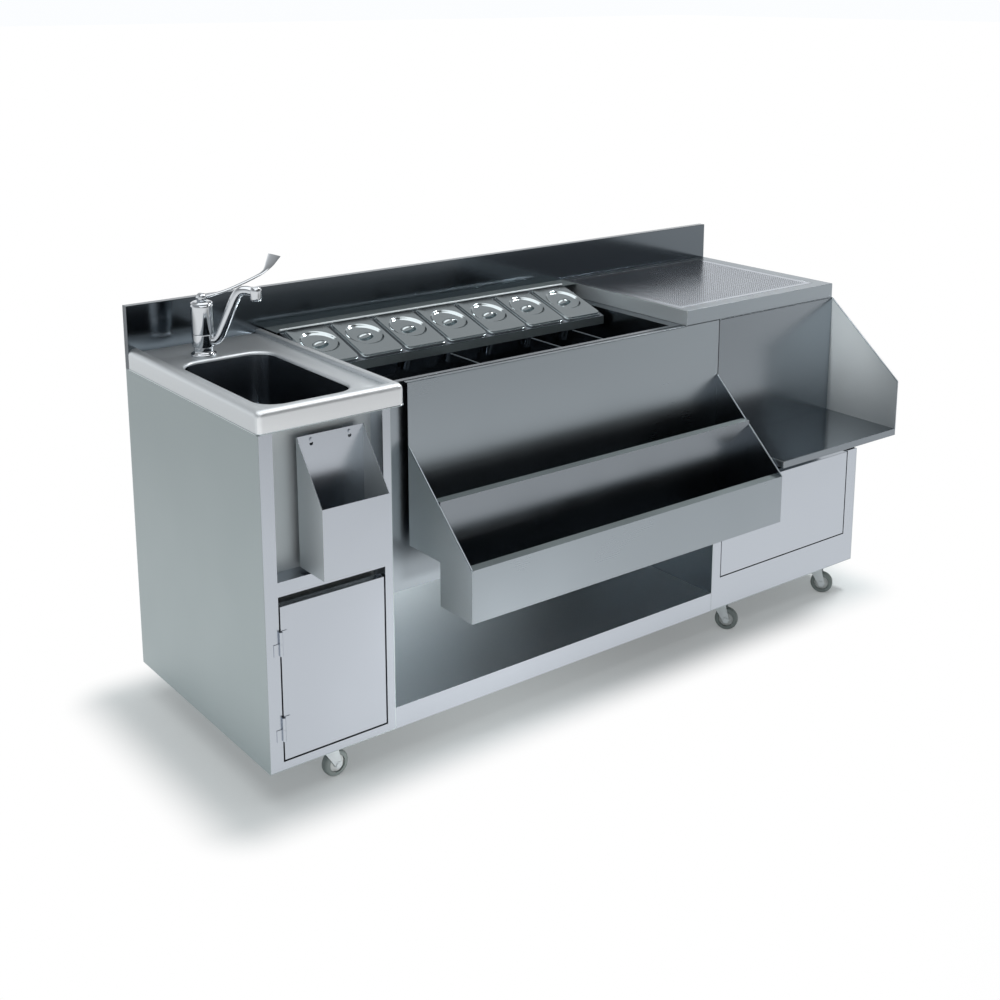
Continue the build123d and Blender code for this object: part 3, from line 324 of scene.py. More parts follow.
def joined(*shapes):
    """Several shapes as one list of corners and one of faces."""
    starts = np.cumsum([0] + [len(corners) for corners, faces in shapes])
    corners = np.concatenate([corners for corners, faces in shapes])
    faces = np.concatenate([faces + start for start, (places, faces) in zip(starts, shapes)])
    return corners, faces


def piece(name, shape, finish, body, nodes=(), sharp=40):
    """Makes a mesh of a shape in drawing millimetres. Corners in the same place, to a thousandth, become
    one, so that seams and poles are closed, and faces that shrink to a line there are dropped. Edges that
    bend by more than sharp, in degrees, stay crisp."""
    corners, faces = shape
    corners, merged = np.unique(np.round(corners, 3), axis=0, return_inverse=True)
    faces = merged.reshape(-1)[faces]
    same = faces == np.roll(faces, -1, axis=1)
    whole = faces[same.sum(axis=1) == 0]
    folded = same.sum(axis=1) == 1
    keep = (np.argmax(same[folded], axis=1)[:, None] + np.array((1, 2, 3))) % 4
    thirds = np.take_along_axis(faces[folded], keep, axis=1)
    mesh = bpy.data.meshes.new(name)
    mesh.from_pydata(((corners - ORIGIN) / METRE).tolist(), [], whole.tolist() + thirds.tolist())
    mesh.shade_smooth()
    mesh.set_sharp_from_angle(angle=math.radians(sharp))
    mesh.materials.append(finish)
    thing = bpy.data.objects.new(name, mesh)
    bpy.context.collection.objects.link(thing)
    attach(thing, body)
    if nodes:
        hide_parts(*nodes)
    return thing


NEARLY_HALF = 0.48
TINY = 1e-6


def softened(line, reach, steps=5):
    """A line of points with each inner corner replaced by a short parabola. It starts and ends at most the
    given reach from the corner, and before the middle of a short side. Its points are its two ends and the
    corner, weighed by the squares and by twice the product of the way gone and the way left."""
    line = np.array(line, dtype=float)
    before, corner, after = line[:-2], line[1:-1], line[2:]
    step = np.linspace(0, 1, steps)[None, :, None]
    ends = []
    for other in (before, after):
        gap = other - corner
        length = np.maximum(np.linalg.norm(gap, axis=1, keepdims=True), TINY)
        ends.append((corner + gap / length * np.minimum(reach, NEARLY_HALF * length))[:, None])
    curves = (1 - step) ** 2 * ends[0] + 2 * step * (1 - step) * corner[:, None] + step**2 * ends[1]
    return np.concatenate([line[:1], curves.reshape(-1, line.shape[1]), line[-1:]])


def lathe(profile, centre, axes=np.eye(3), sides=48, ring=False):
    """A profile of radius and height, turned about a line through the centre. A point is the radius times
    the cosine and the sine of the turn along the first two axes, and the height along the third. A ring's
    profile closes on itself."""
    profile = np.array(profile, dtype=float)
    turn = np.linspace(0, 2 * math.pi, sides, endpoint=False)
    circle = np.cos(turn)[:, None] * axes[0] + np.sin(turn)[:, None] * axes[1]
    points = profile[:, 0, None, None] * circle[None] + profile[:, 1, None, None] * axes[2] + centre
    return grid(points, along=ring)


def sweep(path, widths, heights, up=UP, sides=16):
    """An oval carried along a path of points, with half a width and half a height for each point. A point is
    the width times the cosine of the turn to the side, and the height times its sine towards the top, which
    lies in the plane of the path and the up direction. Both ends close to a point."""
    path = np.array(path, dtype=float)
    forward = np.gradient(path, axis=0)
    side = np.cross(forward, up)
    side /= np.linalg.norm(side, axis=1, keepdims=True)
    top = np.cross(side, forward)
    top /= np.linalg.norm(top, axis=1, keepdims=True)
    turn = np.linspace(0, 2 * math.pi, sides, endpoint=False)[None, :, None]
    wide = np.broadcast_to(np.asarray(widths, dtype=float), len(path))[:, None, None]
    high = np.broadcast_to(np.asarray(heights, dtype=float), len(path))[:, None, None]
    rings = path[:, None] + wide * np.cos(turn) * side[:, None] + high * np.sin(turn) * top[:, None]
    ends = [np.repeat(path[at, None, None], sides, axis=1) for at in (0, -1)]
    return grid(np.concatenate([ends[0], rings, ends[1]])[:, ::-1])


def hem_bead(start, end, radius):
    """A straight round bead: a circle carried from one point to another. For a bead that stands upright, x
    takes the place of the up direction."""
    way = np.array(end, dtype=float) - np.array(start, dtype=float)
    upright = abs(way[2]) >= STRAIGHT * np.linalg.norm(way)
    up = np.array((1.0, 0.0, 0.0)) if upright else UP
    return sweep([start, end], radius, radius, up, sides=8)


def rounded_outline(low, high, corner, height, arc=8, side=6):
    """Points round a rectangle with rounded corners, anticlockwise from the front right corner: a quarter
    circle about each corner's centre, and after it evenly spaced points along the straight side."""
    turn = np.linspace(0, math.pi / 2, arc)
    x = (high[0] - corner, high[0] - corner, low[0] + corner, low[0] + corner)
    y = (low[1] + corner, high[1] - corner, high[1] - corner, low[1] + corner)
    first_half_turns = np.array((-0.5, 0, 0.5, 1))
    angle = turn[None] + first_half_turns[:, None] * math.pi
    places = [
        np.array(x)[:, None] + corner * np.cos(angle),
        np.array(y)[:, None] + corner * np.sin(angle),
        np.full(angle.shape, float(height)),
    ]
    bends = np.stack(places, axis=-1)
    step = np.linspace(0, 1, side + 2)[None, 1:-1, None]
    straights = bends[:, -1:] * (1 - step) + np.roll(bends, -1, axis=0)[:, :1] * step
    return np.concatenate([bends, straights], axis=1).reshape(-1, 3)


def circle_like(ring, centre, radius, height):
    """The ring's points moved in or out, straight from the centre, onto a circle about it."""
    way = ring[:, :2] - np.array(centre)[:2]
    way = way / np.linalg.norm(way, axis=1, keepdims=True)
    flat = np.array(centre)[:2] + radius * way
    return np.concatenate([flat, np.full((len(ring), 1), float(height))], axis=1)


def folded_plate(low, high, corner=0.4):
    """A flat block with slightly rounded upright edges: an outline at its bottom and one at its top, each
    closed by a fan to its middle."""
    rings = [rounded_outline(low, high, corner, height, arc=3) for height in (low[2], high[2])]
    ends = [np.broadcast_to(ring.mean(axis=0), ring.shape) for ring in rings]
    return grid(np.stack([ends[0], rings[0], rings[1], ends[1]]))


# Sink: a rim with a folded edge on three sides, and a deck pressed into a bowl

DECK = 875.0
RIM_WIDTH = 24.0
RIM_ROUND = 14.0
RIM_INNER_ROUND = 7.0
RIM_BEAD = 1.6
rim_low, rim_high = span("sink_top")
rim_bottom, rim_top = rim_low[2], rim_high[2]
quarter = np.linspace(0, math.pi / 2, 6)


def rim_line(inset, height, corner):
    """Points along the left, front and right of the sink top, set in from its outside: straight sides, with
    a quarter circle at each front corner."""
    left, right = rim_low[0] + inset + corner, rim_high[0] - inset - corner
    front, back = rim_low[1] + inset + corner, rim_high[1]
    bend = np.linspace(0, math.pi / 2, 8)
    falling, rising = corner * np.cos(bend), corner * np.sin(bend)
    x = np.concatenate([[left - corner], left - falling, right + rising, [right + corner]])
    y = np.concatenate([[back], front - rising, front - falling, [back]])
    return np.stack([x, y, np.full(len(x), float(height))], axis=1)


# Each row of the rim's section: how far it is set in, its height and its corner radius
rim_rows = [(0, rim_bottom, RIM_ROUND)]
rim_rows += [
    (RIM_ROUND * (1 - math.cos(angle)), rim_top - RIM_ROUND * (1 - math.sin(angle)), RIM_ROUND)
    for angle in quarter
]
rim_rows += [
    (20, rim_top, 5),
    (22.5, rim_top - 1, 6),
    (RIM_WIDTH, rim_top - 4, RIM_INNER_ROUND),
    (RIM_WIDTH, DECK - 1, RIM_INNER_ROUND),
    (RIM_WIDTH - SHEET, DECK - SHEET, RIM_INNER_ROUND),
    (SHEET, DECK - SHEET, RIM_ROUND),
    (SHEET, rim_bottom, RIM_ROUND),
]
rim_points = np.stack([rim_line(*row) for row in rim_rows])
rim = piece("sink_rim", grid(rim_points, around=False, along=True), satin, "station", ["sink_top"])
# Painted highlight: the rim's faces that look to the front get the paler satin.
refinish(rim, painted_pale_satin, looks_front)
bead_path = rim_line(0, rim_bottom + RIM_BEAD, RIM_ROUND)
piece("sink_rim_bead", sweep(bead_path, RIM_BEAD, RIM_BEAD), pressed, "station")

BOWL_FLANGE = 9.0
BOWL_CORNER = 50.0
BOWL_SHEET = 1.0
LIP = 7.0
FLOOR_ROUND = 22.0
DRAFT = 3.0
DECK_LAP = 2.0
# Radius and depth of the steps down to the waste
WASTE_STEPS = ((33, 1), (20, 1.5), (20, 6))
flange_low, flange_high = span("sink_bowl")
bowl_low, bowl_high = flange_low + BOWL_FLANGE, flange_high - BOWL_FLANGE
bowl_floor = flange_low[2] + BOWL_SHEET
waste = (bowl_low + bowl_high) / 2


def bowl_ring(grow, height):
    """The bowl's outline, grown or shrunk by a distance."""
    return rounded_outline(bowl_low - grow, bowl_high + grow, BOWL_CORNER + grow, height)


def below_lip(ways, middles):
    """Faces of the bowl under its rounded lip."""
    return middles[:, 2] < DECK - LIP


# Rows from the rim inwards: the deck's edge, the lip, the rounded floor under a steep wall, and the waste
deck_low = rim_low + RIM_WIDTH - DECK_LAP
deck_high = (rim_high[0] - RIM_WIDTH + DECK_LAP, rim_high[1])
deck_rows = [rounded_outline(deck_low, deck_high, RIM_ROUND, DECK)]
deck_rows += [
    bowl_ring(LIP * (1 - math.sin(angle)), DECK - LIP * (1 - math.cos(angle))) for angle in quarter
]
deck_rows += [
    bowl_ring(-DRAFT - FLOOR_ROUND * (1 - math.cos(angle)), bowl_floor + FLOOR_ROUND * (1 - math.sin(angle)))
    for angle in quarter
]
deck_rows += [circle_like(deck_rows[-1], waste, radius, bowl_floor - drop) for radius, drop in WASTE_STEPS]
deck = piece("sink_deck", grid(np.stack(deck_rows)), satin, "station", ["sink_bowl"])
# Painted shade: the bowl under its lip gets the darker drawn steel.
refinish(deck, drawn, below_lip)
thick = deck.modifiers.new("sheet", "SOLIDIFY")
thick.thickness = BOWL_SHEET / METRE
thick.offset = -1.0

strainer = softened([(0, -3), (17, -3), (18.5, 1), (14, -1), (5, -2), (4, 3), (0, 3)], 1.2)
piece("sink_strainer", lathe(strainer, (waste[0], waste[1], bowl_floor)), drawn, "station")


# Tap: turned body and hood, a tapering spout and a thin lever that ends in a paddle

# A profile is radius and height, and the lines of the spout and the lever are reach and height.
SPOUT_TURN = math.radians(-45)
SPOUT_REACH = 130.0
LEVER_TURN = math.radians(6)
LEVER_PIVOT = 136.3
BALL = 12.5
BALL_SLOT = 6.8
tap_low, tap_high = span("tap_body")
tap = np.array(((tap_low[0] + tap_high[0]) / 2, (tap_low[1] + tap_high[1]) / 2, DECK))
body_line = [(0, -55), (16, -55), (16, 0), (30, 0.2), (30, 5), (25, 8), (23, 11), (23, 21.7), (19, 21.7)]
body_line += [(19, 52.3), (26, 52.3), (26, 118), (23, 123), (0, 123)]
piece("tap_column", lathe(softened(body_line, 1.6), tap), chrome, "station", ["tap_body"])

spout_way = np.array((math.cos(SPOUT_TURN), math.sin(SPOUT_TURN), 0))
spout_side = np.cross(spout_way, UP)
collar_line = [(19.2, 22), (25, 22), (26, 23), (26, 51), (25, 52), (19.2, 52)]
spout_line = [(20, 37), (37, 38), (88, 154), (112, 157), (SPOUT_REACH, 150), (SPOUT_REACH, 138)]
spout_line = softened(spout_line, 26, 9)
spout_path = tap + spout_line[:, :1] * spout_way + spout_line[:, 1:] * UP
taper = np.linspace(13, 10, len(spout_path))
nozzle_line = softened([(0, 133), (11.5, 133), (12, 134), (14, 137), (14, 158), (10, 165), (0, 165)], 2.5)
spout_shape = joined(
    lathe(collar_line, tap, ring=True),
    sweep(spout_path, taper, taper, spout_side, sides=24),
    lathe(nozzle_line, tap + SPOUT_REACH * spout_way),
)
piece("tap_spout_cast", spout_shape, chrome, "spout", ["tap_spout"])

# The lever's eye turns in a slot between two cheeks of a ball on the hood
lever_way = np.array((math.cos(LEVER_TURN), math.sin(LEVER_TURN), 0))
lever_side = np.cross(UP, lever_way)
pivot = tap + LEVER_PIVOT * UP
back_axes = np.array((UP, lever_way, lever_side))
front_axes = np.array((lever_way, UP, -lever_side))
slices = np.linspace(BALL_SLOT, BALL, 8)
cheek = np.stack([np.sqrt(BALL**2 - slices**2), slices], axis=1)
cheek = np.concatenate([[(0, BALL_SLOT)], cheek])
hood_line = softened([(0, 123.3), (25, 123.3), (25.5, 125), (20, 128.5), (0, 129)], 1.5)
hood_shape = joined(lathe(hood_line, tap), lathe(cheek, pivot, back_axes), lathe(cheek, pivot, front_axes))
piece("tap_hood", hood_shape, chrome, "tap_cap", ["tap_cap"])

lever_line = softened([(0, 0), (40, 3), (74, 8), (137, 24), (180, 38), (206, 74)], 20, 7)
lever_path = pivot + lever_line[:, :1] * lever_way + lever_line[:, 1:] * UP
lever_reach = lever_line[:, 0]
lever_widths = np.interp(lever_reach, (0, 60, 150, 178, 200, 206), (6.5, 5.5, 5, 8, 24, 26))
lever_heights = np.interp(lever_reach, (0, 60, 150, 178, 206), (4.5, 3.5, 3, 2.2, 1.4))
eye = [(0, -6), (10, -6), (11.5, -5), (11.5, 5), (10, 6), (0, 6)]
lever_shape = joined(sweep(lever_path, lever_widths, lever_heights), lathe(eye, pivot, back_axes))
piece("tap_paddle", lever_shape, chrome, "tap_lever", ["tap_lever"])


# Lids of the garnish pans: pressed with a raised middle, a round dish and a bar across it

# The rack's own axes run along it, up its slope and out of it, from its upper left corner.
RACK_TILT = math.radians(17)
run, rise = math.cos(RACK_TILT), math.sin(RACK_TILT)
rack_axes = np.array(((1, 0, 0), (0, run, rise), (0, -rise, run)))
rack_corner = np.array((363.0, 564.08, 885.0))
PAN_PITCH = 129.07
LID_HALF = np.array((59.5, 87.0))
LID_BELOW = 92.5
LID_SEAT = 1.8
LID_SHEET = 1.0
LID_TOP = 6.6
DISH = np.array((0.0, 9.0))
DISH_FLOOR = 0.8
GRIP_HALF = 21.0
GRIP_POINTS = 17
GRIP_RISE = 8.0
GRIP_PLACE = 4.0
GRIP_HALF_WIDTH = 5.5
GRIP_HALF_SHEET = 1.3

# Each row of the lid: how far it is set in, its height and its corner radius
lid_rows = [(0, 0, 12), (0, 1.5, 12), (0.3, 1.8, 11.7), (1.5, 1.8, 11), (1.9, 2.2, 11), (2.3, 5.9, 10.6)]
lid_rows += [(2.8, 6.5, 10), (4.5, LID_TOP, 10)]
lid_rings = [
    rounded_outline(inset - LID_HALF, LID_HALF - inset, corner, height, arc=4, side=14)
    for inset, height, corner in lid_rows
]
dish_line = [(52, LID_TOP), (49, LID_TOP), (45, 2.4), (40, 1.2), (20, DISH_FLOOR), (0, DISH_FLOOR)]
lid_rings += [
    circle_like(lid_rings[-1], DISH, max(radius, 0.0), height) for radius, height in softened(dish_line, 3)
]
lid_rings = np.stack(lid_rings)
lid_under = lid_rings[:0:-1] - LID_SHEET * UP
grip_x = np.linspace(-GRIP_HALF, GRIP_HALF, GRIP_POINTS)
grip_rise = np.sqrt(np.cos(grip_x / GRIP_HALF * math.pi / 2).clip(0))
grip_path = np.stack([grip_x, np.full(GRIP_POINTS, GRIP_PLACE), DISH_FLOOR + GRIP_RISE * grip_rise], axis=1)
lid_corners, lid_faces = joined(
    grid(np.concatenate([lid_under, lid_rings])), sweep(grip_path, GRIP_HALF_WIDTH, GRIP_HALF_SHEET)
)
for number in PANS:
    middle = np.array(((number - 0.5) * PAN_PITCH, -LID_BELOW, LID_SEAT))
    placed = (lid_corners + middle) @ rack_axes + rack_corner
    piece(f"pan_lid_{number}", (placed, lid_faces), pressed, f"lid_{number}", [f"lid_{number}"])

RACK_BEAD = 3.0
BEAD_BEHIND = 2.0
bead_ends = np.array([(x, BEAD_BEHIND, RACK_BEAD) for x in (0, len(PANS) * PAN_PITCH)])
piece("rack_bead", hem_bead(*(bead_ends @ rack_axes + rack_corner), RACK_BEAD), matt, "station")


# Perforated tray: square cells with a round hole each, inside a plain border with a turned-down edge

# The solid has fewer and wider holes.
HOLE_PITCH = 8.0
HOLE_RADIUS = 2.6
TRAY_BORDER = 14.0
TRAY_EDGE = 1.0
tray_low, tray_high = span("perforated_tray")
tray_half = (tray_high - tray_low)[:2] / 2
tray_middle = (tray_low + tray_high)[:2] / 2
tray_count = (2 * tray_half - 2 * TRAY_BORDER) // HOLE_PITCH
field_half = tray_count * HOLE_PITCH / 2
top, under = tray_high[2], tray_high[2] - SHEET
eighths = np.arange(8) * math.pi / 4
round_turn = np.stack([np.cos(eighths), np.sin(eighths)], axis=1)
round_hole = round_turn * HOLE_RADIUS
square = np.sign(np.round(round_turn, 6)) * HOLE_PITCH / 2
cell_lines = ((square, under), (round_hole, under), (round_hole, top), (square, top))
cell_rows = [np.insert(flat, 2, height, axis=1) for flat, height in cell_lines]
cell_corners, cell_faces = grid(np.stack(cell_rows))
cell_steps = [np.arange(count) - (count - 1) / 2 for count in tray_count]
spots = np.stack(np.meshgrid(*cell_steps, indexing="ij"), axis=-1).reshape(-1, 2)
spots = np.insert(spots * HOLE_PITCH + tray_middle, 2, 0.0, axis=1)
holes = (
    (spots[:, None] + cell_corners[None]).reshape(-1, 3),
    (np.arange(len(spots))[:, None, None] * len(cell_corners) + cell_faces[None, :, ::-1]).reshape(-1, 4),
)


def tray_line(half, height):
    """Points round a rectangle about the tray's middle, evenly spaced, and as many on each side as the field
    has half cells."""
    across, deep = (np.linspace(-1, 1, int(2 * count), endpoint=False) for count in tray_count)
    one_x, one_y = np.ones(len(across)), np.ones(len(deep))
    x = np.concatenate([across, one_y, -across, -one_y]) * half[0] + tray_middle[0]
    y = np.concatenate([-one_x, deep, one_x, -deep]) * half[1] + tray_middle[1]
    return np.stack([x, y, np.full(len(x), float(height))], axis=1)


border_rows = [
    (field_half, under),
    (tray_half - SHEET, under),
    (tray_half - SHEET, tray_low[2]),
    (tray_half, tray_low[2]),
    (tray_half, top - TRAY_EDGE),
    (tray_half - TRAY_EDGE, top),
    (field_half, top),
]
border = grid(np.stack([tray_line(*row) for row in border_rows]))
piece("drainer_sheet", joined(holes, border), brushed_upright, "tray", ["perforated_tray"], sharp=30)


# Casters: a rubber tyre round a moulded wheel centre, each turned by some degrees, front row first

CASTER_TURNS = (95, 35, 35, 60, 20, 35)
tyre_line = softened([(20, -11), (28, -11), (31, -6), (31, 6), (28, 11), (20, 11)], 3)
hub_line = [(4.1, -10), (9, -10), (9.5, -7), (19.9, -6), (19.9, 6), (9.5, 7), (9, 10), (4.1, 10)]
hub_line = softened(hub_line, 0.8)
for number, turn in zip(CASTERS, CASTER_TURNS):
    low, high = span(f"caster_wheel_{number}")
    axle = np.array((math.cos(math.radians(turn)), math.sin(math.radians(turn)), 0))
    axes = np.array((UP, np.cross(axle, UP), axle))
    middle = (low + high) / 2
    tyre = lathe(tyre_line, middle, axes, ring=True)
    piece(f"tyre_{number}", tyre, rubber, f"wheel_{number}", [f"caster_wheel_{number}"])
    hub = lathe(hub_line, middle, axes, ring=True)
    piece(f"wheel_centre_{number}", hub, plastic, f"wheel_{number}", ())


# Hems: the edges of folded sheet are doubled over and rounded, and catch the light as thin lines

PANEL_FACE = 115.0
HEM_INSET = 1.0
GUSSET_HEM = 2.0
FRONT_HEM = 1.6
PANEL_HEM = 1.4
DIVIDER_HEM = 1.6
rail_low, rail_high = span("speed_rail")
shelf_low, shelf_high = span("bar_shelf")
drainer_low, drainer_high = span("drainer_frame")
hem_front, hem_back = rail_low[1] + HEM_INSET, PANEL_FACE - HEM_INSET


def panel_hem(left, right, back, height):
    """A bead along the top of a back panel."""
    return hem_bead((left, back, height), (right, back, height), PANEL_HEM)


RAIL_GUSSET_TOP = 694.0
RAIL_GUSSET_FOOT = 475.0
RAIL_HEM_BACK, RAIL_HEM_HEIGHT = 116.0, 844.6
DRAINER_GAP = 3.0
rail_hems = [
    hem_bead((x, hem_back, RAIL_GUSSET_TOP), (x, hem_front, RAIL_GUSSET_FOOT), GUSSET_HEM)
    for x in (rail_low[0] + HEM_INSET, rail_high[0] - HEM_INSET)
]
rail_hems.append(panel_hem(rail_low[0], drainer_low[0] - DRAINER_GAP, RAIL_HEM_BACK, RAIL_HEM_HEIGHT))
piece("rail_hems", joined(*rail_hems), brushed_long, "speed_rail")

SHELF_GUSSET_TOP = 843.0
SHELF_GUSSET_FRONT = 649.0
SHELF_TOP = 513.0
SHELF_HEM_BACK, SHELF_HEM_HEIGHT = 116.4, 844.3
FIT = 0.2
shelf_end = shelf_high[0] - HEM_INSET
gusset_corner = (shelf_end, hem_front, SHELF_GUSSET_FRONT)
shelf_hems = [
    hem_bead((shelf_end, hem_back, SHELF_GUSSET_TOP), gusset_corner, GUSSET_HEM),
    hem_bead(gusset_corner, (shelf_end, hem_front, SHELF_TOP), FRONT_HEM),
    panel_hem(shelf_low[0], shelf_high[0] - FIT, SHELF_HEM_BACK, SHELF_HEM_HEIGHT),
]
piece("shelf_hems", joined(*shelf_hems), brushed_long, "bar_shelf")

# Fold that closes the shelf's left end, between its lip, its panel and its top
shelf_fold = folded_plate(
    (shelf_low[0] + FIT, shelf_low[1] + SHEET, shelf_low[2]),
    (shelf_low[0] + SHEET, PANEL_FACE - FIT, SHELF_TOP - SHEET - FIT / 2),
    FIT,
)
piece("shelf_left_fold", shelf_fold, brushed_long, "bar_shelf")

for number in DIVIDERS:
    low, high = span(f"well_divider_{number}")
    x = low[0] + SHEET / 2
    hem = hem_bead((x, low[1] + SHEET, high[2]), (x, high[1] - SHEET, high[2]), DIVIDER_HEM)
    piece(f"divider_hem_{number}", hem, brushed_long, f"divider_{number}")


# Plate behind the finger gap over the door, set back so that fingers have room

FINGER_ROOM = 26.0
PLATE_PAST_DOOR = 3.4
PLATE_BELOW, PLATE_ABOVE = 16.0, 26.0
door_low, door_high = span("left_door")
plate_front = door_high[1] + FINGER_ROOM
plate_low = (door_low[0] - PLATE_PAST_DOOR, plate_front, door_high[2] - PLATE_BELOW)
plate_high = (door_high[0] + PLATE_PAST_DOOR, plate_front + SHEET, door_high[2] + PLATE_ABOVE)
piece("door_head_fold", folded_plate(plate_low, plate_high), matt, "station")


# Softened edges of the folded doors, the backsplash, the drainer frame and the caster forks

FOLD_ROUND = 0.9
SAME_PLACE = 0.01
FOLDED = ["left_door", "waste_flap", "backsplash", "drainer_frame"]
FOLDED += [f"caster_fork_{number}" for number in CASTERS]
for name in FOLDED:
    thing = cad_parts[name]
    thing.modifiers.new("joined corners", "WELD").merge_threshold = SAME_PLACE / METRE
    edge = thing.modifiers.new("folded edges", "BEVEL")
    edge.width = FOLD_ROUND / METRE
    edge.segments = 2
    edge.limit_method = "ANGLE"


# Studio, in metres: a white floor that keeps the object's shadow, and a room that is dim in places

# Steel looks like steel only when it has something dim to mirror.
FLOOR_REACH = 60.0
ZERO = (0.0, 0.0, 0.0)
# Middle and half size of the floor under the object, and how far round it the shadow is kept
FOOT_MIDDLE = (-0.03, 0.063, 0.0)
FOOT_HALF = (0.97, 0.32, 0.0)
SHADOW_REACH = 0.16
LEAST_WHITE = 0.2
# Middle, half size and least brightness of the dim areas in front on the right and behind on the left
DIM_OVALS = (
    ((1.8, -3.8, 0.0), (3.5, 3.0, 1.0), 0.38),
    ((-3.4, 2.6, 0.0), (2.6, 3.4, 1.0), 0.45),
)


def beside_footprint(tree, place):
    """How far a place on the floor lies outside the object's footprint: the length of what is left when the
    footprint's half size is taken from the place's distances to its middle."""
    steps = (("SUBTRACT", FOOT_MIDDLE), ("ABSOLUTE", ZERO), ("SUBTRACT", FOOT_HALF), ("MAXIMUM", ZERO))
    for operation, other in steps:
        place = node(tree, "ShaderNodeVectorMath", [(0, place), (1, other)], operation=operation).outputs[0]
    return node(tree, "ShaderNodeVectorMath", [(0, place)], operation="LENGTH").outputs["Value"]


def dim_oval(tree, place, middle, half_size, least):
    """How bright the floor is round a soft oval where the room is dim: least in its middle, 1 outside it."""
    for operation, other in (("SUBTRACT", middle), ("DIVIDE", half_size)):
        place = node(tree, "ShaderNodeVectorMath", [(0, place), (1, other)], operation=operation).outputs[0]
    away = node(tree, "ShaderNodeVectorMath", [(0, place)], operation="LENGTH")
    return node(
        tree,
        "ShaderNodeMapRange",
        [("Value", away.outputs["Value"]), ("To Min", least)],
        interpolation_type="SMOOTHSTEP",
    ).outputs[0]


# Painted floor: matt and nearly white. Eye and mirrors see plain white instead, except close to the object,
# where its shadow lies.
floor_material, floor_tree, floor_shader = new_material("pale studio floor")
floor_shader.inputs["Base Color"].default_value = linear("#E0E7E8")
floor_shader.inputs["Roughness"].default_value = 0.9
floor_shader.inputs["Specular IOR Level"].default_value = 0.0
place = node(floor_tree, "ShaderNodeTexCoord").outputs["Object"]
lit = node(
    floor_tree,
    "ShaderNodeMapRange",
    [("Value", beside_footprint(floor_tree, place)), ("From Max", SHADOW_REACH), ("To Min", LEAST_WHITE)],
    interpolation_type="SMOOTHSTEP",
)
rays = node(floor_tree, "ShaderNodeLightPath").outputs
seen = rays["Is Camera Ray"]
for kind in ("Is Glossy Ray", "Is Transmission Ray"):
    seen = node(floor_tree, "ShaderNodeMath", [(0, seen), (1, rays[kind])], operation="MAXIMUM").outputs[0]
share = node(floor_tree, "ShaderNodeMath", [(0, seen), (1, lit.outputs[0])], operation="MULTIPLY")
ovals = [dim_oval(floor_tree, place, *oval) for oval in DIM_OVALS]
level = node(floor_tree, "ShaderNodeMath", list(enumerate(ovals)), operation="MULTIPLY")
white = node(floor_tree, "ShaderNodeEmission", [("Color", (1, 1, 1, 1)), ("Strength", level.outputs[0])])
mixed = node(
    floor_tree,
    "ShaderNodeMixShader",
    [(0, share.outputs[0]), (1, floor_shader.outputs[0]), (2, white.outputs[0])],
)
floor_tree.links.new(mixed.outputs[0], floor_tree.nodes["Material Output"].inputs["Surface"])

floor_mesh = bpy.data.meshes.new("floor")
corners = [(x * FLOOR_REACH, y * FLOOR_REACH, 0.0) for x, y in ((-1, -1), (1, -1), (1, 1), (-1, 1))]
floor_mesh.from_pydata(corners, [], [(0, 1, 2, 3)])
floor_mesh.materials.append(floor_material)
floor = bpy.data.objects.new("floor", floor_mesh)
bpy.context.collection.objects.link(floor)

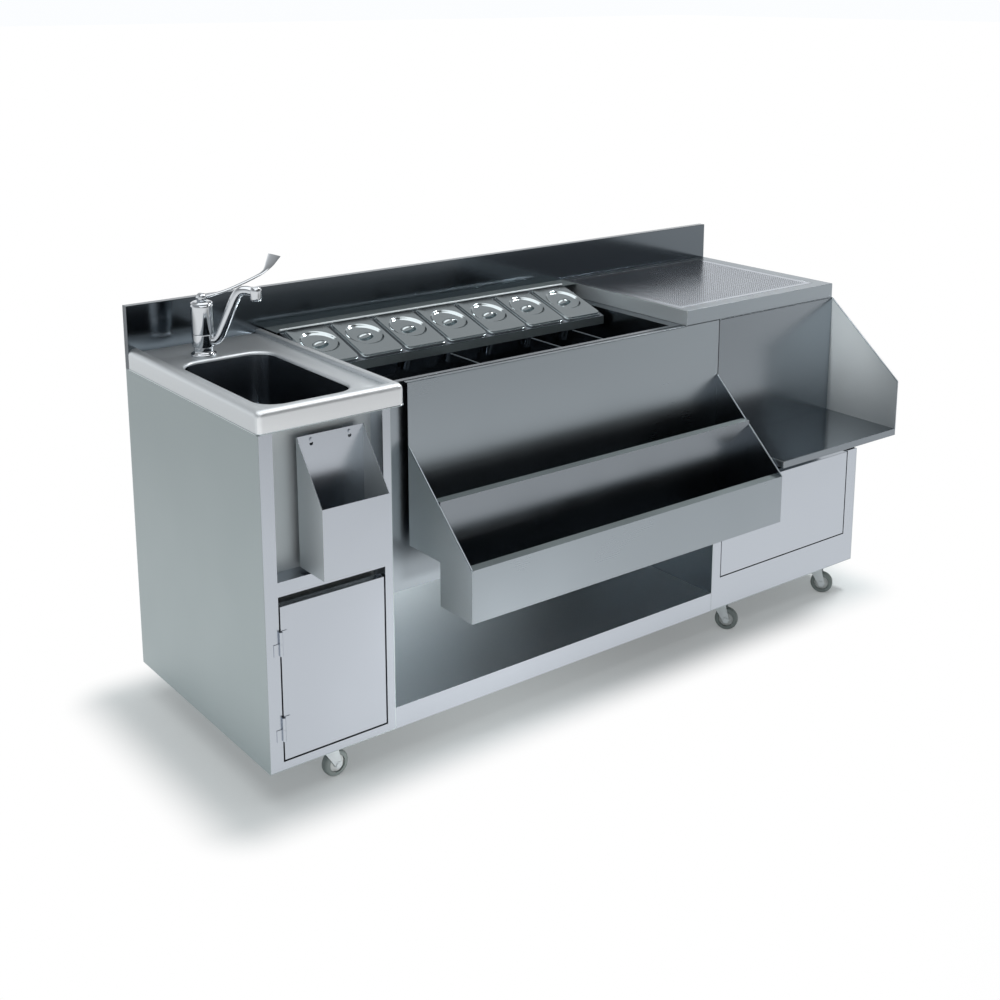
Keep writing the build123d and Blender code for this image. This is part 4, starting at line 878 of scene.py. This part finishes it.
# Room: brightest behind on the right, dim in front on the right, and dim overhead. Each row gives a
# direction, how far a ray points that way where the change begins and ends, and the brightness there.
ROOM = (
    ((0.6, 0.8, 0.0), (-0.3, 0.6), (0.8, 1.0)),
    ((0.64, -0.77, 0.0), (0.35, 0.85), (1.0, 0.35)),
    ((0.0, 0.0, 1.0), (0.15, 0.6), (1.0, 0.4)),
)
world = bpy.data.worlds.new("studio")
bpy.context.scene.world = world
world.use_nodes = True
sky = world.node_tree
ray = node(sky, "ShaderNodeTexCoord").outputs["Generated"]
level = 1.0
for way, (begin, end), (before, after) in ROOM:
    toward = node(sky, "ShaderNodeVectorMath", [(0, ray), (1, way)], operation="DOT_PRODUCT")
    change = [("From Min", begin), ("From Max", end), ("To Min", before), ("To Max", after)]
    fade = node(
        sky,
        "ShaderNodeMapRange",
        [("Value", toward.outputs["Value"])] + change,
        interpolation_type="SMOOTHSTEP",
    )
    level = node(sky, "ShaderNodeMath", [(0, level), (1, fade.outputs[0])], operation="MULTIPLY").outputs[0]
sky.links.new(level, sky.nodes["Background"].inputs["Strength"])
sky.nodes["Background"].inputs["Color"].default_value = (0.97, 0.985, 1.0, 1.0)


def lamp(name, place, aim, size, power, spread=180):
    """A square lamp at a place, turned to face another place, in metres, watts and degrees."""
    light = bpy.data.lights.new(name, "AREA")
    light.size = size
    light.energy = power
    light.spread = math.radians(spread)
    thing = bpy.data.objects.new(name, light)
    thing.location = place
    way = np.array(aim) - np.array(place)
    thing.rotation_euler = (math.acos(-way[2] / np.linalg.norm(way)), 0, math.atan2(-way[0], way[1]))
    thing.visible_camera = False
    bpy.context.collection.objects.link(thing)


# The main light, high over the right end
lamp("key", (2.2, 0.0, 3.2), (0.0, 0.0, 0.4), 0.6, 60)
# A narrow beam from the left onto the shelf's end plate
lamp("left", (-1.6, -0.1, 3.0), (0.95, -0.2, 0.78), 0.15, 0.4, 8)
# A low lamp in front, for the base strip and the space under it
lamp("low", (-0.4, -2.0, 0.13), (-0.3, 0.3, 0.09), 0.24, 3.0, 32)
# A wide, soft lamp over the left end, for all that looks up
lamp("top", (-0.8, -0.6, 4.5), (-0.8, -0.6, 0.0), 5.0, 100)

# The camera stands in front on the left and looks to the right and a little down, in degrees
TILT_DOWN = 12.545
TURN_RIGHT = 37.554
camera = bpy.data.objects.new("camera", bpy.data.cameras.new("camera"))
camera.location = (-2.2062, -2.6910, 1.7135)
camera.rotation_euler = (math.radians(90 - TILT_DOWN), 0, math.radians(-TURN_RIGHT))
camera.data.lens = 50.78
camera.data.sensor_width = 36
camera.data.shift_y = -0.2
bpy.context.collection.objects.link(camera)
bpy.context.scene.camera = camera
bpy.context.scene.view_settings.view_transform = "Standard"
